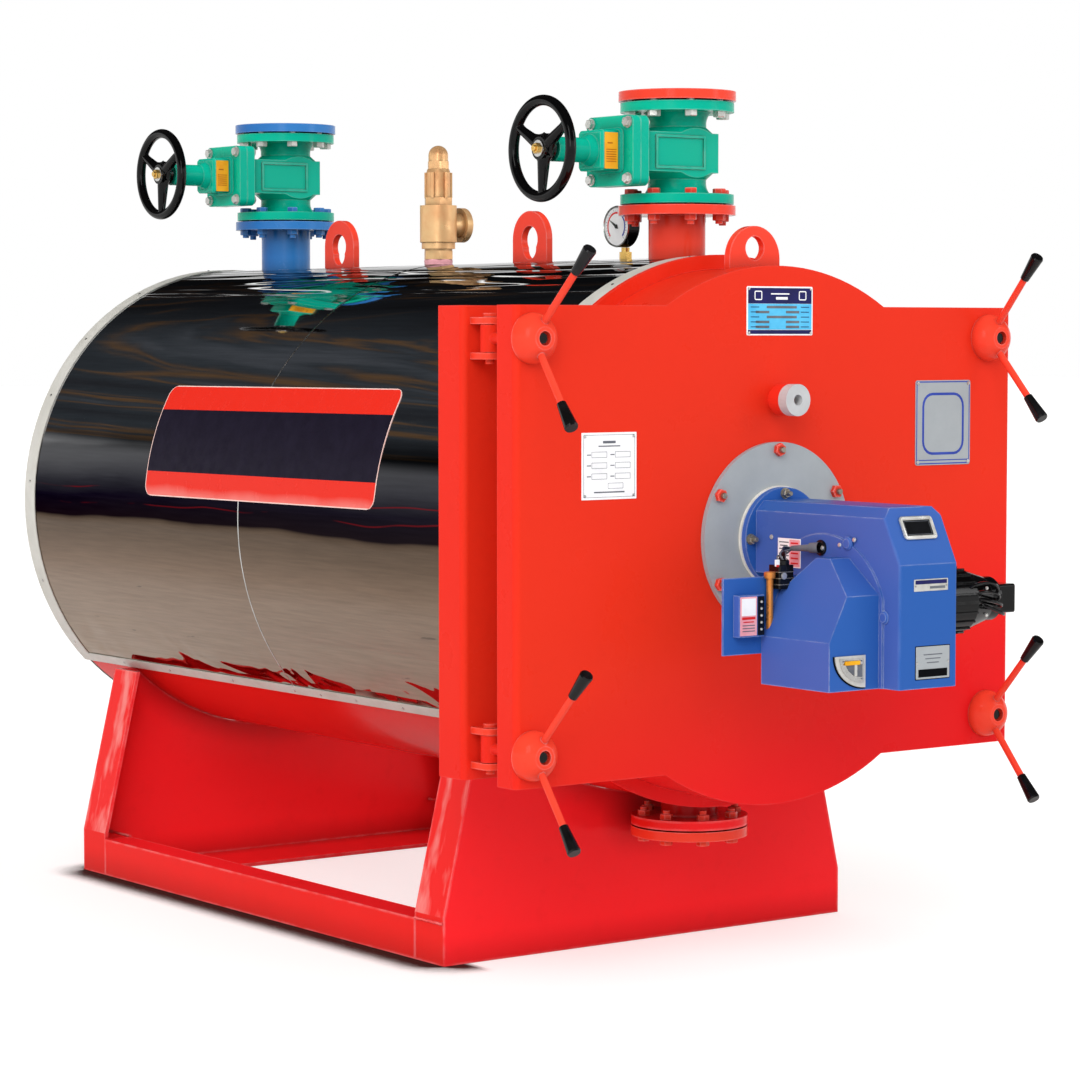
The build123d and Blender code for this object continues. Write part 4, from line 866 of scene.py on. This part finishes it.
def make_data_plate():
    """Navy and cyan plate near the door's top."""
    kit = Kit().use(PAPER)
    face = kit.plate(m3(4, 0, 1210.5), 79, 44.5, 3, 1.0)
    kit.use(NAVY).bars(face, [(0, 27.5, 76, 14.2), (0, -38.2, 76, 3.6)])
    kit.use(CYAN).bars(face, [(0, -10.5, 76, 23.4)])
    over = kit.spot(face, 0, 0, 0.35)
    kit.use(PAPER).bars(over, [(0, 31, 22, 1.2), (4, 23, 14, 2.4)])
    for side in (-52, 54):
        kit.frame(kit.spot(over, side, 28), 9, 8.5, 3, 2.0, 0.3)
    kit.use(GREY_PRINT)
    kit.bars(over, [(4, 7 - 9 * k, 36, 2.2) for k in (0, 2)])
    kit.bars(over, [(sx * 36 - 6, 7 - 9 * k, 16, 2.2) for k in (1, 3, 4) for sx in (-1, 1)])
    kit.use(NAVY).bars(over, [(sx * 60, 7 - 9 * k, 10, 0.7) for k in range(5) for sx in (-1, 1)])
    kit.use(STEEL).corner_screws(face, 74, 40, 3, 2.6, 1.0, 1.4)
    kit.done("data_plate", "door", "grey_plate")


def make_rating_plate():
    """Grey plate with blue frames on the door's right."""
    kit = Kit().use(PLATE)
    face = kit.plate(m3(413, 0, 1000.5), 71, 80.5, 5, 1.4)
    kit.use(DIAL_BLUE)
    kit.frame(face, 69, 78.5, 2, 2.2, 0.2)
    kit.bars(face, [(0, -71, 66, 0.9)])
    kit.frame(kit.spot(face, 0, -2), 54, 59, 26, 5.0, 0.3)
    kit.use(STEEL).corner_screws(face, 65, 74.5, 4, 3.6, 1.0, 1.5)
    kit.done("rating_plate", "door", "grey_plate")


def make_white_label():
    """White plate with empty fields on the door's left."""
    kit = Kit().use(PAPER)
    face = kit.plate(m3(-389, 0, 937), 61, 59, 1, 0.8)
    kit.use(GREY_PRINT)
    kit.frame(face, 57, 55, 1, 0.7, 0.25)
    kit.bars(face, [(0, 42, 14, 2.2), (0, 35, 24, 1.0), (0, -46, 34, 1.2)])
    for k in range(3):
        for sx in (-1, 1):
            kit.frame(kit.spot(face, sx * 26 + 4, 20 - 19 * k), 17, 5.2, 0.6, 0.7, 0.25)
            kit.bars(face, [(sx * 26 - 19, 20 - 19 * k, 4.5, 0.9)])
    kit.frame(kit.spot(face, 14, -35), 17, 5, 0.6, 0.7, 0.25)
    kit.use(STEEL).corner_screws(face, 54, 52, 2.6, 2.3, 1.2, 1.6)
    kit.done("white_label", "door", "seal_white")


# Bolts of the burner's plate and flange
PLATE_FACE, RING_FACE = m3(-6.0, -10.3, 798.0), m3(-6.0, -27.9, 798.0)


def make_burner_bolts():
    """Red nuts of the mounting plate and silver ones of the burner's flange."""
    red, silver = Kit().use(RED_GLOSS), Kit().use(DULL)
    for i, at in enumerate(circle(PLATE_FACE, RIGHT, UP, 160, 6, 30)):
        red.bolt(at, -BACK, 12.4, 9, 0, 0, 23 * i)
        silver.turned(at, -BACK, [(5.4, 8), (5.4, 15), (4.6, 16), (0, 16)], 12)
    for i, at in enumerate(circle(RING_FACE, RIGHT, UP, 81, 4)):
        silver.turned(at, -BACK, [(10, 0), (10, 2), (0, 2)], 20)
        silver.bolt(at - BACK * (2 * MM), -BACK, 8.6, 8, 4.4, 9, 17 * i)
    red.done("mount_plate_nuts", "door", "red_paint")
    silver.done("burner_studs", "door", "bare_steel")


# Display, plates and screws on the burner's housing and air box
SLANT_UP = Vector((0, 48.0, 97.0)).normalized()
PANEL_X = -78.0


def make_display():
    """Display window on the slanted front."""
    at = m3(-6, -381, 832.5)
    kit = Kit().lie(RIGHT, SLANT_UP).use(ZINC)
    kit.frame(at, 38.5, 21.5, 7, 7, 4.0)
    face = kit.use(SCREEN).plate(at, 32, 15, 1, 1.0)
    kit.use(GREY_PRINT).frame(face, 29.5, 12.6, 1, 0.7, 0.2)
    kit.done("burner_display", "door", "bare_steel")


def make_front_plates():
    """Narrow strip and square plate on the burner's upright front."""
    kit = Kit().use(ZINC)
    strip = m3(-1, -410, 735)
    over = kit.plate(strip, 40, 10.5, 1.5, 0.9)
    kit.use(NAVY).plate(kit.spot(over, 0, 5.2), 37, 3.4, 0.5, 0.3, 0.1)
    kit.use(GREY_PRINT).plate(kit.spot(over, 15, -4.4), 18, 2.2, 0.5, 0.3, 0.1)
    kit.use(STEEL)
    for side in (-1, 1):
        kit.flush_screw(kit.spot(strip, 36.5 * side, -2, 0.8), -BACK, 2.2)
    square = m3(4, -410, 600)
    backing = kit.use(SCREEN).plate(square, 41, 29.5, 1.5, 0.6)
    face = kit.use(PLATE).plate(backing, 39.6, 28.1, 1.5, 0.5)
    kit.use(SCREEN).plate(kit.spot(face, 0, -18), 34, 6.8, 0.5, 0.3, 0.1)
    kit.use(GREY_PRINT).bars(face, [(0, 14 - 7 * k, 22 - 4 * k, 0.9) for k in range(3)])
    kit.use(STEEL)
    for side in (-1, 1):
        kit.flush_screw(kit.spot(square, 36.5 * side, 0, 1.0), -BACK, 2.4)
    kit.done("burner_front_plates", "door", "bare_steel")


def make_burner_screws():
    """Screws and two round caps on the burner's left side."""
    kit = Kit().use(ZINC)
    for d, z in ((-260, 799), (-298, 810)):
        kit.screw(m3(PANEL_X, d, z), -RIGHT)
    for d, z in ((-72, 804), (-371, 687)):
        kit.screw(m3(-74, d, z), -RIGHT, 4.4)
    kit.use(BURNER_BLUE)
    for x, d, z in ((-76, -281, 803), (-72, -372, 679)):
        kit.turned(m3(x, d, z), -RIGHT, [(12, 0), (12, 4), (8, 7), (0, 7)], 24)
    kit.done("burner_screws", "door", "burner_blue")


def make_damper():
    """Quarter-round air scale with its pointer on the air box's front."""
    at = m3(-112, -363, 616)
    kit = Kit().use(ZINC)

    def sector(mat, radius, lift, inset=0.0, squeeze=0.8):
        """Quarter disc to the lower left of the pivot, a little flattened."""
        kit.use(mat)
        rim = [(-inset, -inset)]
        for k in range(13):
            a = math.radians(180 + 90 * k / 12)
            p, q = (radius - inset) * math.cos(a), (radius - inset) * math.sin(a)
            rim.append((p - inset, (q - inset) * squeeze))
        rows = kit.skin([[kit.spot(at, p, q, out) for p, q in rim] for out in (0, lift)])
        kit.face(rows[-1])
        kit.face(rows[0])

    # The dark quarter disc under the scale, a little wider than it, is painted shade round its edge.
    for scale in ((SCREEN, 73, 1.2), (ZINC, 70, 3.0), (STEEL, 60, 4.2, 5), (GREY_PRINT, 47, 5.2, 9)):
        sector(*scale)
    kit.use(YELLOW).plate(kit.spot(at, -33, -12, 5.2), 17, 3.6, 1, 2.4)
    kit.use(ZINC).plate(kit.spot(at, -25, -24, 5.2), 3, 11, 1, 1.6)
    kit.use(STEEL)
    for a, b, out, r in ((-12, -12, 5, 3.6), (-52, -10, 3, 2.6), (-10, -42, 3, 2.6)):
        kit.screw(kit.spot(at, a, b, out), -BACK, r)
    kit.done("air_scale", "door", "bare_steel")


# Control box, pipe, servo, gland and leads
LEAD_R = 1.7
BOX_D = -200
BOX_Z = 677.5
GLAND = m3(PANEL_X, -211, 792)
BOOT_ROOT = GLAND + Vector((-9, 4, 0)) * MM
BOOT_LEAN = Vector((-0.30, 0.95, -0.06)).normalized()
BOOT_L = 50


def make_control_label():
    """Label and terminal strip on the small control box."""
    kit = Kit().use(PINK)
    face = kit.plate(m3(-236, BOX_D, BOX_Z), 19, 34, 1, 0.7)
    kit.use(PAPER).plate(kit.spot(face, 0, 16), 16, 15, 1, 0.4, 0.1)
    kit.use(DIAL_RED).bars(face, [(0, -3.5, 15, 2.2), (0, -10, 12, 1.0)])
    kit.use(GREY_PRINT).bars(face, [(0, -16 - 5 * k, 14, 0.8) for k in range(3)])
    kit.use(KNOB).plate(m3(-208, BOX_D, BOX_Z), 7, 34, 1, 1.6)
    kit.use(ZINC)
    for k in range(5):
        kit.screw(m3(-208, BOX_D - 1.4, 702 - 12 * k), -BACK, 2.4)
    kit.done("control_label", "door", "seal_white")


def make_copper_pipe():
    """Thin upright pipe with its nut at the top."""
    kit = Kit().use(COPPER_PIPE)
    pipe = [(6.2, 0), (6.2, 100)]
    nut = [(9.4, 101), (10.2, 104), (10.2, 112), (6, 113), (0, 113)]
    kit.turned(m3(-181, -192, 640), UP, pipe + nut, 24)
    kit.done("copper_pipe", "door", "brass")


def make_servo():
    """Ribbed servo body with its round top and a small tag."""
    kit = Kit().lie(RIGHT, BACK).use(KNOB)
    kit.plate(m3(-153, -190, 722), 17, 15, 3, 42)
    kit.turned(m3(-150, -190, 763), UP, [(12, 0), (12, 8), (10, 10), (0, 10)], 24)
    kit.use(DULL)
    for k in range(3):
        kit.plate(m3(-153, -190, 729 + 11 * k), 17.8, 15.8, 3.4, 1.6)
    kit.use(ZINC).turned(m3(-160, -205, 745), -BACK, [(6, 0), (6, 2), (0, 3)], 16)
    kit.lie(RIGHT, UP).use(PAPER).plate(m3(-172, -200, 768), 4.5, 6, 1, 3)
    kit.use(DIAL_RED).plate(m3(-172, -203, 763), 3.5, 2, 0.5, 0.5)
    kit.done("servo_block", "door", "black_plastic")


def make_side_label():
    """Label on the housing's left side near the flange."""
    kit = Kit().lie(-BACK, UP).use(PAPER)
    face = kit.plate(m3(PANEL_X, -125, 778), 31, 26, 1, 0.7)
    kit.use(PINK).plate(kit.spot(face, 15, 0), 14, 24, 0.5, 0.3, 0.1)
    kit.use(GREY_PRINT).bars(face, [(-14, 19 - 6 * k, 13 - k % 2 * 3, 1.0) for k in range(7)])
    kit.use(DIAL_RED).bars(kit.spot(face, 0, 0, 0.3), [(15, 18 - 9 * k, 10, 1.4) for k in range(5)])
    kit.done("side_label", "door", "seal_white")


def bezier(points, steps):
    """Points on a smooth curve through four control points."""
    a, b, c, e = points
    out = []
    for k in range(steps + 1):
        t = k / steps
        out.append(a * (1 - t) ** 3 + b * 3 * t * (1 - t) ** 2 + c * 3 * t * t * (1 - t) + e * t ** 3)
    return out


def make_ignition_lead():
    """Gland with its rubber boot on the housing, and the bundle of leads that runs to the servo."""
    kit = Kit().use(KNOB)
    kit.turned(GLAND, -RIGHT, [(14, 0), (14, 3), (11, 5), (0, 5)], 24)
    boot = [(10, -7), (9, 12), (6.5, 14), (4.6, BOOT_L), (3.4, BOOT_L + 2), (0, BOOT_L + 2)]
    kit.use(GREY_PRINT).turned(BOOT_ROOT, BOOT_LEAN, boot, 20)
    kit.use(ZINC).screw(GLAND + Vector((-5, -9, 0)) * MM, -RIGHT, 4)
    kit.done("cable_gland", "door", "black_plastic")
    kit = Kit().use(KNOB)
    tip = BOOT_ROOT + BOOT_LEAN * (BOOT_L * MM)
    for k in range(7):
        kit.use(KNOB if k % 3 else GREY_PRINT)
        out = Vector((-10.0 - 6.0 * (k % 3), 16.0 - 7.0 * (k % 4), 5.0 - 3.0 * k)) * MM
        end = m3(-141 - 3.0 * k, -184 - 3 * (k % 4), 771)
        low = end + Vector((26 - 12 * (k % 4), 16 - 7 * (k % 3), 16 + 5 * (k % 2))) * MM
        kit.tube(bezier((tip, tip + out * 1.6, low, end), 20), LEAD_R, 8)
    kit.done("ignition_lead", "door", "black_plastic")


def make_motor_leads():
    """Short leads and screws between the motor and its terminal box."""
    kit = Kit().use(KNOB)
    for k in range(4):
        start = m3(150 + 9 * k, -349, 716 - 9 * k)
        end = m3(222 + 3 * k, -343, 706 - 12 * k)
        rise = Vector((6.0, -16.0 - 3 * k, 20.0 - 9 * k)) * MM
        kit.tube(bezier((start, start + rise, end + rise, end), 14), 3.0, 8)
    kit.use(ZINC)
    for z in (716, 668):
        kit.screw(m3(196, -345, z), -BACK, 3.2)
    kit.done("motor_leads", "door", "black_plastic")


# Weld beads and the ends of the clamps' studs
EYES = ((-557.0, 1161.0), (530.0, 1161.0), (-557.0, 437.0), (530.0, 437.0))


def bead(kit, start, end, r=3.0, steps=26):
    """Hand-laid weld along a straight joint, uneven in its width and line."""
    pts = []
    for k in range(steps + 1):
        wave = math.sin(k * 2.1) * 0.5 + math.sin(k * 5.3 + 1.0) * 0.35
        pts.append(start.lerp(end, k / steps) + Vector((0, 0, wave)) * MM)
    kit.tube(pts, r, 8)


def make_welds():
    """Welds where the saddle plates' feet and the base beams meet."""
    kit = Kit().use(RED_BASE)
    for side in (-1, 1):
        bead(kit, m3(side * 486, 376, 78.5), m3(side * 486, 467, 78.5), 2.6)
    for d0, d1 in ((380, 467), (1655, 1742)):
        for side in (-1, 1):
            bead(kit, m3(side * 424, d0, 79), m3(side * 424, d1, 79), 3.2)
    kit.done("base_welds", "boiler", "red_paint")


def make_stud_ends():
    """Rim and rounded end of the stud in each clamp nut."""
    kit = Kit().use(RED_GLOSS)
    for x, z in EYES:
        kit.turned(m3(x, -38.3, z), -BACK, [(12.4, -9.5), (12.4, -9.2), (10.4, -9.0), (10.4, -9.4)], 20)
    kit.use(BLACK)
    for x, z in EYES:
        kit.turned(m3(x, -31, z), -BACK, [(9.5, -0.5), (9.5, 0.8), (8.7, 1.4), (0, 1.4)], 20)
    kit.done("stud_ends", "door", "red_paint")


make_banner()
make_seam()
make_rivets()
make_valve_hardware(*SUPPLY, RED_GLOSS, "red_paint")
make_valve_hardware(*RETURN, PIPE_BLUE, "blue_pipe_paint")
make_drain_bolts()
make_tape()
make_gauge_face()
make_data_plate()
make_rating_plate()
make_white_label()
make_burner_bolts()
make_display()
make_front_plates()
make_burner_screws()
make_damper()
make_control_label()
make_copper_pipe()
make_servo()
make_side_label()
make_ignition_lead()
make_motor_leads()
make_welds()
make_stud_ends()


# Studio: the even light's strength, the ceiling's start and end in degrees, and the floor
LEVEL = 0.70
CEILING = (10.5, 14.5)
CEILING_TONES = (
    (0.36, (0.022, 0.024, 0.028)), (0.52, (0.030, 0.036, 0.042)), (0.565, (0.12, 0.066, 0.03)),
    (0.62, (0.030, 0.036, 0.042)), (0.72, (0.06, 0.066, 0.075)))
FLOOR_HALF = 60.0
FLOOR_GREY, FLOOR_WHITE = 0.60, 0.56
CONTACT_REACH = 0.09


def studio_world():
    """White walls to a dark grained ceiling for camera, mirrors and glass, and an even light otherwise."""
    world = bpy.data.worlds.new("studio")
    scene.world = world
    world.use_nodes = True
    w = NodeTree(world.node_tree)
    w.tree.nodes.clear()
    x, _, z = w.split("Generated")
    start, end = (math.sin(math.radians(deg)) for deg in CEILING)
    ceiling = w.span(z, start, end, curve="SMOOTHSTEP")
    boards = w.noise(w.coords((1.1, 1.1, 9.0), "Generated"), 2.6, 4.0, 0.55, 0.6)
    wood = w.ramp(boards, CEILING_TONES)
    dimmed = w.ramp(w.span(x, -1.0, 1.0), [(0.48, (1.0, 1.0, 1.0)), (0.60, (0.30, 0.28, 0.28))])
    dark = w.mix(1.0, wood, dimmed, "MULTIPLY")
    seen = w.add("ShaderNodeBackground")
    w.put(seen, Color=w.mix(ceiling, (1, 1, 1, 1), dark))
    light = w.add("ShaderNodeBackground")
    w.put(light, Color=(1.0, 0.985, 0.96, 1), Strength=LEVEL)
    path = w.add("ShaderNodeLightPath")
    any_seen = path.outputs["Is Camera Ray"]
    for other in ("Is Glossy Ray", "Is Transmission Ray"):
        any_seen = w.math("MAXIMUM", any_seen, path.outputs[other])
    mixed = w.add("ShaderNodeMixShader")
    w.fill(mixed.inputs, (any_seen, light.outputs[0], seen.outputs[0]))
    w.put(w.add("ShaderNodeOutputWorld"), Surface=mixed.outputs[0])


def sun(name, direction, strength, angle):
    """Soft sun that shows in no mirror."""
    data = bpy.data.lights.new(name, "SUN")
    data.energy = strength
    data.angle = math.radians(angle)
    add_object(name, data, look=Vector(direction)).visible_glossy = False


def softbox(name, place, target, size, power):
    """Rectangular lamp that looks at a target."""
    data = bpy.data.lights.new(name, "AREA")
    data.shape = "RECTANGLE"
    data.size, data.size_y = size
    data.energy = power
    add_object(name, data, place, Vector(target) - Vector(place))


def studio_floor():
    """Pale floor with a painted contact shadow, which glows for the camera alone."""
    mesh = bpy.data.meshes.new("floor")
    r = FLOOR_HALF
    mesh.from_pydata([(-r, -r, 0), (r, -r, 0), (r, r, 0), (-r, r, 0)], [], [(0, 1, 2, 3)])
    floor = add_object("floor", mesh, (0, 0, -MM))
    s = Shader("floor_white")
    path = s.add("ShaderNodeLightPath")
    grain = s.noise(s.coords(), 2.0, 3.0)
    plain = s.mix(grain, (0.86, 0.86, 0.86, 1), (0.84, 0.84, 0.84, 1))
    shade = s.add("ShaderNodeAmbientOcclusion", samples=4)
    s.put(shade, Distance=CONTACT_REACH)
    # Painted shadow: darkened by ambient occlusion near the base, on its left side only.
    x, _, _ = s.split("Object")
    beside = s.span(x, -0.44, -0.42)
    open_air = s.math("MAXIMUM", s.span(shade.outputs["AO"], 0.80, 0.98), beside)
    seen_floor = s.mix(open_air, (0.05, 0.02, 0.018, 1), (FLOOR_GREY, FLOOR_GREY, FLOOR_GREY, 1))
    s.set(Base_Color=s.mix(path.outputs["Is Camera Ray"], plain, seen_floor), Roughness=0.8)
    s.set(Specular_IOR_Level=0.1, Emission_Color=(1.0, 0.995, 0.99, 1))
    lift = s.times(s.times(path.outputs["Is Camera Ray"], open_air), FLOOR_WHITE)
    s.set(Emission_Strength=lift)
    mesh.materials.append(s.mat)


studio_world()
studio_floor()
sun("key", (0.6, 0.7, -0.7), 1.0, 40)
sun("fill", (-0.6, 0.5, -0.8), 0.45, 60)
sun("left", (1.0, 0.3, -0.12), 0.52, 50)
softbox("strip_left", (-3.2, -2.6, 2.8), (0, 0.2, 0.9), (1.2, 2.4), 25)
softbox("strip_right", (2.6, -3.0, 2.6), (0, -0.3, 0.9), (0.8, 2.0), 15)

scene.view_settings.view_transform = "Standard"
